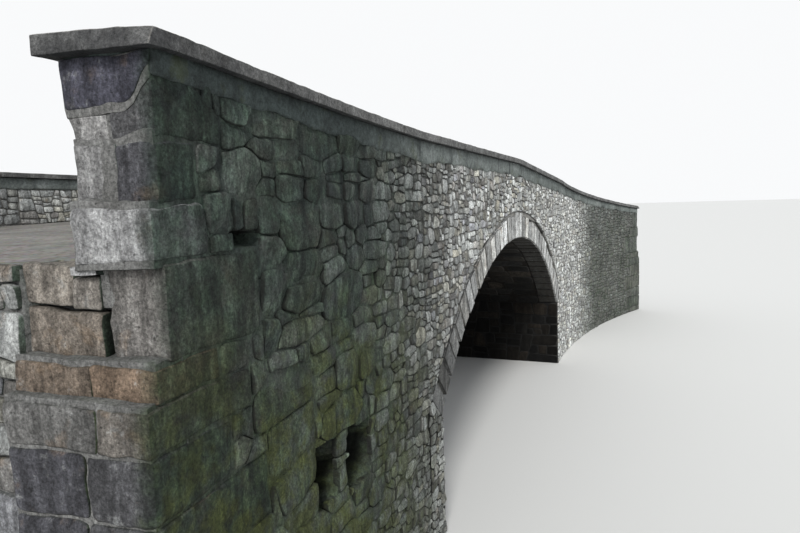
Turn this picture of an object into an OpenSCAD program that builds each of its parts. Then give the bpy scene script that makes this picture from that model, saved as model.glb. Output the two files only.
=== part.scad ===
// Single-span stone arch bridge with curved, flared wing walls.
// The road runs along X, the front face looks toward -Y and the near wing lies toward -X.

/* [Arch] */
// Radius of the curve under the arch
arch_radius = 5900; // [5600:50:6300]
// Height of the arch from the springing to the crown
arch_rise = 1900; // [1600:50:2000]
// Height of the abutments up to the springing
abutment_height = 1500; // [1000:50:2200]
// Depth of the arch stones, measured along the radius
ring_depth = 470; // [400:10:520]
// Depth of the face stones, measured into the bridge
ring_bed = 450; // [350:10:550]
// Arch stones on each side of the keystone
stones_per_half = 17; // [12:1:22]
// Width of the mortar joints between dressed stones
joint_w = 12; // [8:1:16]
// Depth to which the joints are raked out
joint_rake = 18; // [8:1:25]

/* [Plan] */
// Distance between the two outer faces over the arch
bridge_width = 9000; // [8000:100:10000]
// Straight part of the walls past each end of the arch
straight_past = 120; // [60:10:400]
// Radius of the near wings, in plan
near_radius = 52000; // [40000:1000:70000]
// Length of the near wings along their face
near_length = 4300; // [3800:50:4800]
// Radius of the far wings, in plan
far_radius = 20000; // [17000:500:26000]
// Length of the far wings along their face
far_length = 7700; // [7000:100:8400]

/* [Walls] */
// Thickness of the walls that hold back the fill
wall_t = 950; // [800:10:1100]
// Thickness of the parapets
parapet_t = 530; // [450:10:650]
// Thickness of the walls that close the fill at both ends
return_t = 600; // [450:10:800]
// Depth of fill over the ledge behind each parapet
ledge_cover = 200; // [150:10:260]
// How far the abutments reach behind the springing
abutment_back = 1450; // [1200:10:1800]
// Half length of the thin wall that rides on the crown of the arch
crown_half = 2600; // [2500:50:3000]
// How far the corner stones stand proud of the walls
quoin_proud = 18; // [8:1:30]

/* [Coping] */
// Thickness of the coping slabs
coping_t = 100; // [80:5:130]
// Overhang of the coping on each side and at the ends
coping_over = 75; // [50:5:100]
// How far the outer corners of the coping are cut back at the ends
coping_skew = 50; // [0:5:70]
// Open joint between coping slabs
coping_joint = 8; // [5:1:12]
// Coping slabs on the near half
near_slabs = 5; // [4:1:7]
// Coping slabs on the far half
far_slabs = 6; // [5:1:8]
// Height of the levelling course over the arch
band_h = 200; // [150:10:240]
// Height of the levelling course at the near ends
band_near_h = 110; // [90:10:150]
// Height of the levelling course at the far ends
band_far_h = 150; // [90:10:200]

/* [Levels] */
// Height of the coping over the underside of the crown
crown_to_coping = 1430; // [1350:10:1600]
// Rise of the coping from the crown to the near wings
near_rise = 90; // [0:10:150]
// Further rise of the coping along the near wings
near_wing_rise = 180; // [0:10:300]
// Fall of the coping from the crown to the far wings
far_fall = 320; // [200:10:400]
// Further fall of the coping along the far wings
far_wing_fall = 910; // [600:10:1000]
// Depth of fill over the crown of the arch
crown_cover = 110; // [60:10:160]
// Height of the near ends of the parapets over the road
near_parapet_h = 1190; // [1000:10:1300]
// Height of the far ends of the parapets over the road
far_parapet_h = 1000; // [900:10:1100]

/* [Hidden] */

// Corner stones from the road level down: height of each course, its length on the wall, and
// how far it stands out past the wall's end
low_heights = [530, 200, 250, 370, 420, 300, 360, 480, 340, 400, 260];
low_lengths = [1050, 480, 800, 560, 950, 500, 850, 520, 900, 540, 1000];
low_steps = [-20, 95, 180, 180, 180, 180, 180, 180, 180, 180, 180];
// The same from the road level up
high_heights = [310, 320, 160, 400];
high_lengths = [550, 380, 620, 450];
high_steps = [50, -10, -25, -15];
// A course thinner than this joins the one above it
least_course = 150;

// Smoothness of the arch, and length of the flat faces that make up the curved walls
arch_facets = 360;
plan_step = 350;
// How far the curved faces are drawn past the ends of the walls
past_end = 250;
// Reach of cutting shapes past what they cut
reach = 12000;
spare = 500;

half_width = bridge_width / 2;

crown_z = abutment_height + arch_rise;
centre_z = crown_z - arch_radius;
back_radius = arch_radius + ring_depth;
spring_turn = acos((arch_radius - arch_rise) / arch_radius);
half_span = arch_radius * sin(spring_turn);
skew_x = back_radius * sin(spring_turn);
skew_z = centre_z + back_radius * cos(spring_turn);
stone_turn = 2 * spring_turn / (2 * stones_per_half + 1);
key_turn = stone_turn / 2;
barrel_turn = stone_turn * (floor(stones_per_half / 3) + 0.5);

// Half length of the straight part, between the wings
straight_half = skew_x + straight_past;
// Length along the face of each end of the bridge
near_s = -straight_half - near_length;
far_s = straight_half + far_length;
// Where the inner edges of the walls end, at each end of the bridge
near_end_x = face_x(near_s, wall_t);
far_end_x = face_x(far_s, wall_t);
// The origin is under the middle of the bridge's length, corner stones and coping included
near_tip_x = min(face_x(near_s - max(low_steps), wall_t),
    face_x(near_s - coping_over, parapet_t + coping_over));
far_tip_x = max(face_x(far_s + max(low_steps), wall_t),
    face_x(far_s + coping_over, parapet_t + coping_over));
middle_x = (near_tip_x + far_tip_x) / 2;

coping_crown_z = crown_z + crown_to_coping;
near_wing_z = coping_crown_z + near_rise;
near_end_z = near_wing_z + near_wing_rise;
far_wing_z = coping_crown_z - far_fall;
far_end_z = far_wing_z - far_wing_fall;
road_crown_z = crown_z + ring_depth + crown_cover;
road_near_z = near_end_z - near_parapet_h;
road_far_z = far_end_z - far_parapet_h;

function sum(list, n) = n <= 0 ? 0 : list[n - 1] + sum(list, n - 1);
function settle(z) = z < least_course ? 0 : z;

// Point on the front face, a length s along it from the crown and moved in by the offset
function face_x(s, offset) =
    s < -straight_half
        ? -straight_half - (near_radius + offset) * sin((-straight_half - s) / near_radius * 180 / PI)
    : s > straight_half
        ? straight_half + (far_radius + offset) * sin((s - straight_half) / far_radius * 180 / PI)
    : s;
function face_y(s, offset) =
    s < -straight_half
        ? -half_width - near_radius
            + (near_radius + offset) * cos((-straight_half - s) / near_radius * 180 / PI)
    : s > straight_half
        ? -half_width - far_radius
            + (far_radius + offset) * cos((s - straight_half) / far_radius * 180 / PI)
    : -half_width + offset;
function face_point(s, offset) = [face_x(s, offset), face_y(s, offset)];

// Long-section lines, each from the near end to the far end, shifted down by a drop
function line_ends() = [near_end_x - spare, far_end_x + spare];
function slope_at(x, x0, z0, x1, z1) = z0 + (z1 - z0) * (x - x0) / (x1 - x0);
function coping_line(near_drop, drop, far_drop) = [
    [line_ends()[0], slope_at(line_ends()[0], near_end_x, near_end_z - near_drop,
        -straight_half, near_wing_z - drop)],
    [-straight_half, near_wing_z - drop],
    [0, coping_crown_z - drop],
    [straight_half, far_wing_z - drop],
    [line_ends()[1], slope_at(line_ends()[1], straight_half, far_wing_z - drop,
        far_end_x, far_end_z - far_drop)]
];
function road_line(drop) = [
    [line_ends()[0], road_near_z - drop],
    [-straight_half, road_near_z - drop],
    [0, road_crown_z - drop],
    [line_ends()[1], slope_at(line_ends()[1], 0, road_crown_z - drop, far_end_x, road_far_z - drop)]
];
function ground_line() = [[line_ends()[0], 0], [line_ends()[1], 0]];
function reversed(list) = [for (i = [len(list) - 1 : -1 : 0]) list[i]];

// A drawing in the XZ plane, made solid from y0 to y1
module across(y0, y1) {
    translate([0, y1, 0])
        rotate([90, 0, 0])
            linear_extrude(y1 - y0)
                children();
}

// Everything between two long-section lines
module between_lines(low, high) {
    across(-reach, reach)
        polygon(concat(low, reversed(high)));
}

// Places along the front face where its flat faces meet
near_steps = ceil(near_length / plan_step);
far_steps = ceil(far_length / plan_step);
function stations() = concat(
    [near_s - past_end],
    [for (i = [near_steps - 1 : -1 : 0]) -straight_half - i * near_length / near_steps],
    [for (i = [0 : far_steps - 1]) straight_half + i * far_length / far_steps],
    [far_s + past_end]
);
function face_run(offset) = [for (s = stations()) face_point(s, offset)];
function mirrored(points) = [for (p = points) [p[0], -p[1]]];

// Plan of a front wall that lies between two offsets from the outer face
module wall_plan(out, in) {
    polygon(concat(face_run(out), reversed(face_run(in))));
}

// Plan of everything between two places along the front face
module stretch_plan(s0, s1) {
    polygon([
        face_point(s0, -reach / 4), face_point(s0, reach / 4),
        face_point(s1, reach / 4), face_point(s1, -reach / 4)
    ]);
}

// Part of a front wall between two offsets, two places and two long-section lines
module wall(out, in, s0, s1, low, high) {
    intersection() {
        linear_extrude(reach)
            intersection() {
                wall_plan(out, in);
                stretch_plan(s0, s1);
            }
        between_lines(low, high);
    }
}

// Plan of the space between the front and back walls, behind the given offset
module core_plan(offset, x0, x1) {
    intersection() {
        translate([x0, -reach])
            square([x1 - x0, 2 * reach]);
        polygon(concat(face_run(offset), reversed(mirrored(face_run(offset)))));
    }
}

// Section of the arch between two angles from the crown
module ring_section(turn0, turn1) {
    translate([0, centre_z])
        intersection() {
            difference() {
                circle(back_radius, $fn = arch_facets);
                circle(arch_radius, $fn = arch_facets);
            }
            polygon([[0, 0], reach * [sin(turn0), cos(turn0)], reach * [sin(turn1), cos(turn1)]]);
        }
}

module under_arch_back() {
    across(-reach, reach)
        translate([0, centre_z])
            circle(back_radius, $fn = arch_facets);
}

// Raked joint on the face of the ring at one angle
module ring_joint(turn) {
    across(-half_width - spare, -half_width + joint_rake)
        translate([0, centre_z])
            rotate(-turn)
                translate([-joint_w / 2, arch_radius - spare])
                    square([joint_w, ring_depth + 2 * spare]);
}

module ring_half(side) {
    color("silver")
        difference() {
            across(-half_width, -half_width + ring_bed)
                ring_section(side * key_turn, side * spring_turn);
            for (i = [1 : stones_per_half - 1])
                ring_joint(side * (key_turn + i * stone_turn));
        }
}

module keystone() {
    color("gainsboro")
        across(-half_width, -half_width + ring_bed)
            ring_section(-key_turn, key_turn);
}

module barrel(turn0, turn1) {
    color("dimgray")
        across(-half_width + ring_bed, half_width - ring_bed)
            ring_section(turn0, turn1);
}

// Abutment with the sloping seat that takes the thrust of the arch
module abutment(side) {
    color("gray")
        intersection() {
            across(-half_width, half_width)
                polygon([
                    [side * half_span, 0], [side * half_span, abutment_height],
                    [side * skew_x, skew_z], [side * (half_span + abutment_back), skew_z],
                    [side * (half_span + abutment_back), 0]
                ]);
            linear_extrude(reach)
                union() {
                    core_plan(wall_t, -reach, reach);
                    translate([-straight_half, -half_width])
                        square([2 * straight_half, bridge_width]);
                }
        }
}

// Wall beside one half of the arch, up to the ledge behind the parapet
module spandrel(side) {
    color("darkgray")
        difference() {
            wall(0, wall_t, side > 0 ? crown_half : -straight_half, side > 0 ? straight_half : -crown_half,
                seat_line(), road_line(ledge_cover));
            under_arch_back();
        }
}

// The level of the top of the abutments
function seat_line() = [[line_ends()[0], skew_z], [line_ends()[1], skew_z]];

// Length along the face where the straight part and the end of the wing lie
function wing_s(side) = side > 0 ? straight_half : -straight_half;
function end_s(side) = side > 0 ? far_s : near_s;
function road_end_z(side) = side > 0 ? road_far_z : road_near_z;

module wing_wall(side) {
    color("darkgray")
        difference() {
            wall(0, wall_t, min(wing_s(side), end_s(side)), max(wing_s(side), end_s(side)),
                ground_line(), road_line(ledge_cover));
            corner_room(side);
        }
}

// Parapet of one half, which reaches down to the arch near the crown
module parapet(side) {
    color("silver")
        difference() {
            union() {
                wall(0, parapet_t, side > 0 ? crown_half : near_s, side > 0 ? far_s : -crown_half,
                    road_line(ledge_cover), band_line());
                wall(0, parapet_t, side > 0 ? 0 : -crown_half, side > 0 ? crown_half : 0,
                    seat_line(), band_line());
            }
            under_arch_back();
            corner_room(side);
        }
}

function band_line() = coping_line(
    coping_t + band_near_h, coping_t + band_h, coping_t + band_far_h);

module band(side) {
    color("slategray")
        wall(0, parapet_t, side > 0 ? 0 : near_s, side > 0 ? far_s : 0,
            band_line(), coping_line(coping_t, coping_t, coping_t));
}

function low_top(side, i) = settle(road_end_z(side) - sum(low_heights, i));
function low_bottom(side, i) =
    i == len(low_heights) - 1 ? 0 : settle(road_end_z(side) - sum(low_heights, i + 1));
function high_bottom(side, i) = road_end_z(side) + sum(high_heights, i);
// Height left for the upper courses, the last of which runs up to the levelling course
function head_room(side) =
    (side > 0 ? far_parapet_h - band_far_h : near_parapet_h - band_near_h) - coping_t;
function is_used(side, i) = sum(high_heights, i) <= head_room(side) - least_course;
function is_last(side, i) = sum(high_heights, i + 1) > head_room(side) - least_course;
function high_top(side, i) = is_last(side, i) ? high_bottom(side, i) + spare : high_bottom(side, i + 1);

// Block at the end of a wall: how far past the end it starts and how far back it reaches,
// between two offsets from the outer face and two heights
module end_block(side, past, back, out, in, z0, z1) {
    tip = end_s(side) + side * past;
    root = end_s(side) - side * back;
    translate([0, 0, z0])
        linear_extrude(z1 - z0)
            intersection() {
                wall_plan(out, in);
                stretch_plan(min(tip, root), max(tip, root));
            }
}

// Room for the corner stones in the walls
module corner_room(side) {
    for (i = [0 : len(low_heights) - 1])
        if (low_top(side, i) > 0)
            end_block(side, past_end / 2, low_lengths[i], -spare, wall_t + spare,
                low_bottom(side, i) > 0 ? low_bottom(side, i) : -spare, low_top(side, i));
    for (i = [0 : len(high_heights) - 1])
        if (is_used(side, i))
            end_block(side, past_end / 2, high_lengths[i], -spare, wall_t + spare,
                high_bottom(side, i), high_top(side, i));
}

// Stack of corner stones on a raked-out core, which ends the wall
module quoins(side) {
    gap = joint_w / 2;
    core_inset = quoin_proud + joint_rake;
    color("tan")
        intersection() {
            union() {
                for (i = [0 : len(low_heights) - 1])
                    if (low_top(side, i) > 0) {
                        z0 = low_bottom(side, i);
                        z1 = low_top(side, i);
                        end_block(side, low_steps[i], low_lengths[i] - gap, -quoin_proud, wall_t,
                            z0 > 0 ? z0 + gap : 0, i > 0 ? z1 - gap : z1);
                        end_block(side, low_steps[i] - core_inset, low_lengths[i],
                            joint_rake, wall_t, z0, z1);
                    }
                for (i = [0 : len(high_heights) - 1])
                    if (is_used(side, i)) {
                        z0 = high_bottom(side, i);
                        z1 = high_top(side, i);
                        end_block(side, high_steps[i], high_lengths[i] - gap, -quoin_proud, parapet_t,
                            z0 + gap, z1 - gap);
                        end_block(side, high_steps[i] - core_inset, high_lengths[i],
                            joint_rake, parapet_t - joint_rake, z0, z1);
                    }
            }
            between_lines(ground_line(), band_line());
        }
}

// Coping slabs between two places, with open joints
// Everything past the end of the coping, which is cut askew
module past_skew(side) {
    outer = face_point(end_s(side) + side * (coping_over - coping_skew), -coping_over);
    inner = face_point(end_s(side) + side * coping_over, parapet_t + coping_over);
    askew = inner - outer;
    away = [side * spare, 0];
    polygon([outer - askew, inner + askew, inner + askew + away, outer - askew + away]);
}

module coping(side, slabs) {
    length = abs(end_s(side));
    color("lightgray")
        difference() {
            for (i = [0 : slabs - 1]) {
                a = side * (i * length / slabs + coping_joint / 2);
                b = side * ((i + 1) * length / slabs
                    + (i == slabs - 1 ? coping_over : -coping_joint / 2));
                wall(-coping_over, parapet_t + coping_over, min(a, b), max(a, b),
                    coping_line(coping_t, coping_t, coping_t), coping_line(0, 0, 0));
            }
            linear_extrude(reach)
                past_skew(side);
        }
}

// Wall that closes the fill between the two wings at one end
module return_wall(side) {
    x0 = side > 0 ? far_end_x - return_t : near_end_x;
    color("darkgray")
        linear_extrude(road_end_z(side))
            core_plan(wall_t, x0, x0 + return_t);
}

// Fill from a long-section line up to the road, between two places along the bridge
module trench(offset, x0, x1, low) {
    intersection() {
        linear_extrude(reach)
            core_plan(offset, min(x0, x1), max(x0, x1));
        between_lines(low, road_line(0));
    }
}

// Fill beside one half of the arch, narrow between the walls and wide over their ledges
module haunch_fill(side) {
    color("rosybrown")
        difference() {
            union() {
                trench(wall_t, 0, side * straight_half, seat_line());
                trench(parapet_t, 0, side * straight_half, road_line(ledge_cover));
                trench(parapet_t, 0, side * crown_half, seat_line());
            }
            under_arch_back();
        }
}

// Fill between the wings at one end, up to the wall that closes it
module approach_fill(side) {
    x0 = side * straight_half;
    x1 = side > 0 ? far_end_x - return_t : near_end_x + return_t;
    color("rosybrown")
        difference() {
            union() {
                trench(wall_t, x0, x1, ground_line());
                trench(parapet_t, x0, x1, road_line(ledge_cover));
            }
            abutment_room();
            for (turn = [0, 1])
                mirror([0, turn, 0])
                    end_block(side, past_end / 2, low_lengths[0], -spare, wall_t,
                        -spare, road_end_z(side));
        }
}

module abutment_room() {
    width = half_span + abutment_back;
    across(-reach, reach)
        translate([-width, -spare])
            square([2 * width, spare + skew_z]);
}

module near_abutment() { placed() abutment(-1); }
module far_abutment() { placed() abutment(1); }
module barrel_near_haunch() { placed() barrel(-spring_turn, -barrel_turn); }
module barrel_crown() { placed() barrel(-barrel_turn, barrel_turn); }
module barrel_far_haunch() { placed() barrel(barrel_turn, spring_turn); }
module near_approach_fill() { placed() approach_fill(-1); }
module near_haunch_fill() { placed() haunch_fill(-1); }
module far_haunch_fill() { placed() haunch_fill(1); }
module far_approach_fill() { placed() approach_fill(1); }
module near_return_wall() { placed() return_wall(-1); }
module far_return_wall() { placed() return_wall(1); }

// Puts the origin under the middle of the bridge
module placed() {
    translate([-middle_x, 0, 0])
        children();
}

module front() {
    placed() children();
}

module back() {
    placed() mirror([0, 1, 0]) children();
}

near_abutment();
far_abutment();
barrel_near_haunch();
barrel_crown();
barrel_far_haunch();
near_approach_fill();
near_haunch_fill();
far_haunch_fill();
far_approach_fill();
near_return_wall();
far_return_wall();
front() ring_half(-1);  // front_near_ring
front() keystone();  // front_keystone
front() ring_half(1);  // front_far_ring
front() spandrel(-1);  // front_near_spandrel
front() spandrel(1);  // front_far_spandrel
front() wing_wall(-1);  // front_near_wing_wall
front() wing_wall(1);  // front_far_wing_wall
front() parapet(-1);  // front_near_parapet
front() parapet(1);  // front_far_parapet
front() quoins(-1);  // front_near_quoins
front() quoins(1);  // front_far_quoins
front() band(-1);  // front_near_band
front() band(1);  // front_far_band
front() coping(-1, near_slabs);  // front_near_coping
front() coping(1, far_slabs);  // front_far_coping
back() ring_half(-1);  // back_near_ring
back() keystone();  // back_keystone
back() ring_half(1);  // back_far_ring
back() spandrel(-1);  // back_near_spandrel
back() spandrel(1);  // back_far_spandrel
back() wing_wall(-1);  // back_near_wing_wall
back() wing_wall(1);  // back_far_wing_wall
back() parapet(-1);  // back_near_parapet
back() parapet(1);  // back_far_parapet
back() quoins(-1);  // back_near_quoins
back() quoins(1);  // back_far_quoins
back() band(-1);  // back_near_band
back() band(1);  // back_far_band
back() coping(-1, near_slabs);  // back_near_coping
back() coping(1, far_slabs);  // back_far_coping
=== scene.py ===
"""Looks of an old single-span stone arch bridge, in metres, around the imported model.

Lengths along a face (s) and bridge places (x) are measured from the middle of the arch.
A point on a face is (u, v, w): along it, up it and out of it. A point in a wall is
(s, offset, z), with the offset inwards from the outer face."""

import math
from collections import namedtuple

import bpy
import numpy as np
from mathutils import Matrix, Vector


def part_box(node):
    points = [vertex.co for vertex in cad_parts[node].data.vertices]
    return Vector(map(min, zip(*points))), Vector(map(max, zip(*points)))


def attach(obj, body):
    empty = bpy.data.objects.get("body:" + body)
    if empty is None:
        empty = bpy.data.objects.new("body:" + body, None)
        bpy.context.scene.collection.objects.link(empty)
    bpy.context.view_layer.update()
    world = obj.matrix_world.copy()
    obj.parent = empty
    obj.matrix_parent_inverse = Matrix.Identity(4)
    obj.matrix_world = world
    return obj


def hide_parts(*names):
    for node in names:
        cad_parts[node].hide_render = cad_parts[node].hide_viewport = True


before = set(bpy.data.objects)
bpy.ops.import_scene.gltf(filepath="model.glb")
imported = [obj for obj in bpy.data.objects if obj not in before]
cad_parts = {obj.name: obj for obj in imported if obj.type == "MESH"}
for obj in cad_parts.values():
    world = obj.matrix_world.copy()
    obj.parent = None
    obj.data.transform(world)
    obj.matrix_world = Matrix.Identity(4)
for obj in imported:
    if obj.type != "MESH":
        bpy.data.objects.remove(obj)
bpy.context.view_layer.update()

# Driving dimensions of the bridge, as built
ARCH_RADIUS = 5.90
ARCH_RISE = 1.90
SPRING_Z = 1.50
RING_DEPTH = 0.47
RING_BED = 0.45
STONES_PER_HALF = 17
HALF_WIDTH = 4.50
STRAIGHT_PAST = 0.12
NEAR_RADIUS = 52.0
NEAR_LENGTH = 4.30
FAR_RADIUS = 20.0
FAR_LENGTH = 7.70
WALL_T = 0.95
PARAPET_T = 0.53
RETURN_T = 0.60
LEDGE_COVER = 0.20
COPING_T = 0.10
COPING_OVER = 0.075
COPING_SKEW = 0.05
COPING_JOINT = 0.008
SLABS = {"near": 5, "far": 6}
BAND_H = 0.20
BAND_NEAR_H = 0.11
BAND_FAR_H = 0.15
CROWN_TO_COPING = 1.43
NEAR_RISE = 0.09
NEAR_WING_RISE = 0.18
FAR_FALL = 0.32
FAR_WING_FALL = 0.91
CROWN_COVER = 0.11
NEAR_PARAPET_H = 1.19
FAR_PARAPET_H = 1.00
LOW_HEIGHTS = [0.53, 0.20, 0.25, 0.37, 0.42, 0.30, 0.36, 0.48, 0.34, 0.40, 0.26]
LOW_LENGTHS = [1.05, 0.48, 0.80, 0.56, 0.95, 0.50, 0.85, 0.52, 0.90, 0.54, 1.00]
HIGH_HEIGHTS = [0.31, 0.32, 0.16, 0.40]
HIGH_LENGTHS = [0.55, 0.38, 0.62, 0.45]
LOW_STEPS = [-0.02, 0.095, 0.18]
HIGH_STEPS = [0.05, -0.01, -0.025, -0.015]
LEAST_COURSE = 0.15

# Worked out from the above
CROWN_Z = SPRING_Z + ARCH_RISE
CENTRE_Z = CROWN_Z - ARCH_RADIUS
BACK_RADIUS = ARCH_RADIUS + RING_DEPTH
SPRING_TURN = math.acos((ARCH_RADIUS - ARCH_RISE) / ARCH_RADIUS)
HALF_SPAN = ARCH_RADIUS * math.sin(SPRING_TURN)
SKEW_X = BACK_RADIUS * math.sin(SPRING_TURN)
SKEW_Z = CENTRE_Z + BACK_RADIUS * math.cos(SPRING_TURN)
STRAIGHT = SKEW_X + STRAIGHT_PAST
STONE_TURN = 2 * SPRING_TURN / (2 * STONES_PER_HALF + 1)
NEAR_S = -STRAIGHT - NEAR_LENGTH
FAR_S = STRAIGHT + FAR_LENGTH
END_S = {"near": NEAR_S, "far": FAR_S}
HALF_SIGN = {"near": -1, "far": 1}
FACE_SIGN = {"front": 1, "back": -1}

key_low, key_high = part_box("front_keystone")
ARCH_X = (key_low[0] + key_high[0]) / 2


def face_point(s, offset):
    """Bridge x and y of points on the front face, s along it and moved into the wall by offset."""
    s, offset = np.broadcast_arrays(np.asarray(s, float), np.asarray(offset, float))
    near, far = s < -STRAIGHT, s > STRAIGHT
    radius = np.where(near, NEAR_RADIUS, FAR_RADIUS)
    turn = np.where(near, -STRAIGHT - s, s - STRAIGHT) / radius
    reach = (radius + offset) * np.sin(turn)
    x = np.where(near, -STRAIGHT - reach, np.where(far, STRAIGHT + reach, s))
    bend = -HALF_WIDTH - radius + (radius + offset) * np.cos(turn)
    return x, np.where(near | far, bend, -HALF_WIDTH + offset)


def x_of(s):
    return face_point(s, 0)[0]


NEAR_END_X = float(face_point(NEAR_S, WALL_T)[0])
FAR_END_X = float(face_point(FAR_S, WALL_T)[0])
COPING_CROWN_Z = CROWN_Z + CROWN_TO_COPING
NEAR_END_Z = COPING_CROWN_Z + NEAR_RISE + NEAR_WING_RISE
FAR_END_Z = COPING_CROWN_Z - FAR_FALL - FAR_WING_FALL
ROAD_END_Z = {"near": NEAR_END_Z - NEAR_PARAPET_H, "far": FAR_END_Z - FAR_PARAPET_H}
ROAD_CROWN_Z = CROWN_Z + RING_DEPTH + CROWN_COVER
LINE_X = [NEAR_END_X - 1, NEAR_END_X, -STRAIGHT, 0, STRAIGHT, FAR_END_X, FAR_END_X + 1]


def line_z(x, heights):
    """Height of a long-section line given at the five places where it may bend."""
    near_slope = (heights[1] - heights[0]) / (-STRAIGHT - NEAR_END_X)
    far_slope = (heights[4] - heights[3]) / (FAR_END_X - STRAIGHT)
    ends = [heights[0] - near_slope, *heights, heights[4] + far_slope]
    return np.interp(x, LINE_X, ends)


def coping_z(x):
    z = COPING_CROWN_Z
    return line_z(x, [NEAR_END_Z, z + NEAR_RISE, z, z - FAR_FALL, FAR_END_Z])


def band_z(x):
    return coping_z(x) - COPING_T - line_z(x, [BAND_NEAR_H, BAND_H, BAND_H, BAND_H, BAND_FAR_H])


def road_z(x):
    """Road level, flat over the near approach and bent at the crown."""
    near, crown, far = ROAD_END_Z["near"], ROAD_CROWN_Z, ROAD_END_Z["far"]
    past = far + (far - crown) / FAR_END_X
    return np.interp(x, [-STRAIGHT, 0, FAR_END_X, FAR_END_X + 1], [near, crown, far, past])


def ledge_z(s):
    """Height where the thick wall ends under the parapet."""
    return road_z(x_of(s)) - LEDGE_COVER


def above_arch(s):
    """Top of the face ring over a place, or the seat beside it."""
    circle = CENTRE_Z + np.sqrt(np.maximum(BACK_RADIUS**2 - np.asarray(s) ** 2, 0))
    return np.where(np.abs(s) < SKEW_X, circle, SKEW_Z)


# Noise, the same on every run
OCTAVE_FALL = 1.7
# Bends of the joints: how far and how long, then how soon they die out by the arch and the floor
WAVES = [(0.020, 0.42), (0.013, 0.15), (0.005, 0.05)]
FREE_BY_ARCH = 0.25
FREE_BY_FLOOR = 0.15


def noise(points, size, seed=0):
    """Smooth noise from -1 to 1 with lumps about size wide."""
    p = np.asarray(points, float) / size + seed * 19.7
    cell = np.floor(p).astype(np.int64)
    f = p - cell
    f = f * f * (3 - 2 * f)
    total = 0
    for corner in np.ndindex(2, 2, 2):
        c = cell + corner
        h = c[..., 0] * 374761393 + c[..., 1] * 668265263 + c[..., 2] * 1442695041 + seed * 974711
        h = (h ^ (h >> 13)) * 1274126177 & 0x7FFFFFFF
        value = ((h ^ (h >> 16)) & 0xFFFF) / 32767.5 - 1
        total = total + value * np.where(corner, f, 1 - f).prod(axis=-1)
    return total


def rough(points, size, seed=0, octaves=3):
    """Several sizes of noise together, from about -1 to 1."""
    total = 0
    for k in range(octaves):
        total = total + noise(points, size / 2**k, seed + k) / OCTAVE_FALL**k
    return total / OCTAVE_FALL


def smooth_step(x, low, high):
    t = np.clip((np.asarray(x, float) - low) / (high - low), 0, 1)
    return t * t * (3 - 2 * t)


def waver(s, offset, z):
    """Shifts along, into and up the wall that bend the joints of neighbouring pieces alike."""
    points = np.stack(np.broadcast_arrays(s, offset, z), axis=-1)
    shifts = [
        sum(far * noise(points, size, seed + k) for k, (far, size) in enumerate(WAVES))
        for seed in (61, 71, 81)
    ]
    s, z = points[..., 0], points[..., 2]
    away = np.hypot(s, z - CENTRE_Z) - BACK_RADIUS
    past = np.where(z > SKEW_Z, away, np.abs(s) - HALF_SPAN)
    free = smooth_step(past, 0, FREE_BY_ARCH)
    lift = shifts[2] * smooth_step(z, 0.0, FREE_BY_FLOOR)
    return shifts[0] * free, shifts[1], lift * free


# Meshes


class Shape:
    """Gathers points, faces and the look of each point, and makes one object of them."""

    def __init__(self):
        self.points, self.looks, self.faces, self.kinds = [], [], [], []
        self.count = 0

    def add(self, points, looks, faces, kind=0, flip=False):
        """faces is a list of index arrays; looks has tone, hue and edge for each point."""
        self.points.append(points)
        self.looks.append(np.broadcast_to(looks, (len(points), 3)))
        for block in faces:
            block = np.asarray(block)
            if len(block):
                self.faces.append((block[:, ::-1] if flip else block) + self.count)
                self.kinds.append(np.full(len(block), kind))
        self.count += len(points)

    def show(self, name, slot, nodes, materials):
        """Makes the piece, rides it on the bridge and lets it stand for its nodes."""
        points = np.concatenate(self.points)
        corners = np.concatenate([f.ravel() for f in self.faces])
        sizes = np.concatenate([np.full(len(f), f.shape[1]) for f in self.faces])
        starts = np.concatenate([[0], np.cumsum(sizes)[:-1]])
        mesh = bpy.data.meshes.new(name)
        mesh.vertices.add(len(points))
        mesh.vertices.foreach_set("co", points.astype(np.float32).ravel())
        mesh.loops.add(len(corners))
        mesh.loops.foreach_set("vertex_index", corners.astype(np.int32))
        mesh.polygons.add(len(sizes))
        mesh.polygons.foreach_set("loop_start", starts.astype(np.int32))
        mesh.polygons.foreach_set("material_index", np.concatenate(self.kinds).astype(np.int32))
        mesh.update(calc_edges=True)
        looks = np.ones((len(points), 4), np.float32)
        looks[:, :3] = np.concatenate(self.looks)
        mesh.attributes.new("look", "FLOAT_COLOR", "POINT").data.foreach_set("color", looks.ravel())
        mesh.shade_smooth()
        for material in materials:
            mesh.materials.append(material)
        piece = bpy.data.objects.new(name, mesh)
        bpy.context.scene.collection.objects.link(piece)
        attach(piece, "root")
        if nodes:
            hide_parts(*nodes)


# Surfaces: the place of each turns its own coordinates into row coordinates
Face = namedtuple("Face", "place flip")


def to_row(x, y, z):
    return np.stack(np.broadcast_arrays(x + ARCH_X, y, z), axis=-1)


def wall_face(side, inner=False):
    """Outer or inner face of the walls along one side of the bridge; u runs along it."""
    sign = FACE_SIGN[side]

    def place(uvw):
        x, y = face_point(uvw[:, 0], PARAPET_T + uvw[:, 2] if inner else -uvw[:, 2])
        return to_row(x, sign * y, uvw[:, 1])

    return Face(place, (sign < 0) != inner)


def end_face(half):
    """Outer face of the wall that closes one end; u runs across the bridge."""
    sign = HALF_SIGN[half]
    x = {"near": NEAR_END_X, "far": FAR_END_X}[half]
    return Face(lambda uvw: to_row(x + sign * uvw[:, 2], uvw[:, 0], uvw[:, 1]), sign < 0)


def passage_face(half):
    """Face of an abutment under the arch; u runs across the bridge."""
    sign = HALF_SIGN[half]
    return Face(lambda uvw: to_row(sign * (HALF_SPAN - uvw[:, 2]), uvw[:, 0], uvw[:, 1]), sign > 0)


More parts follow.
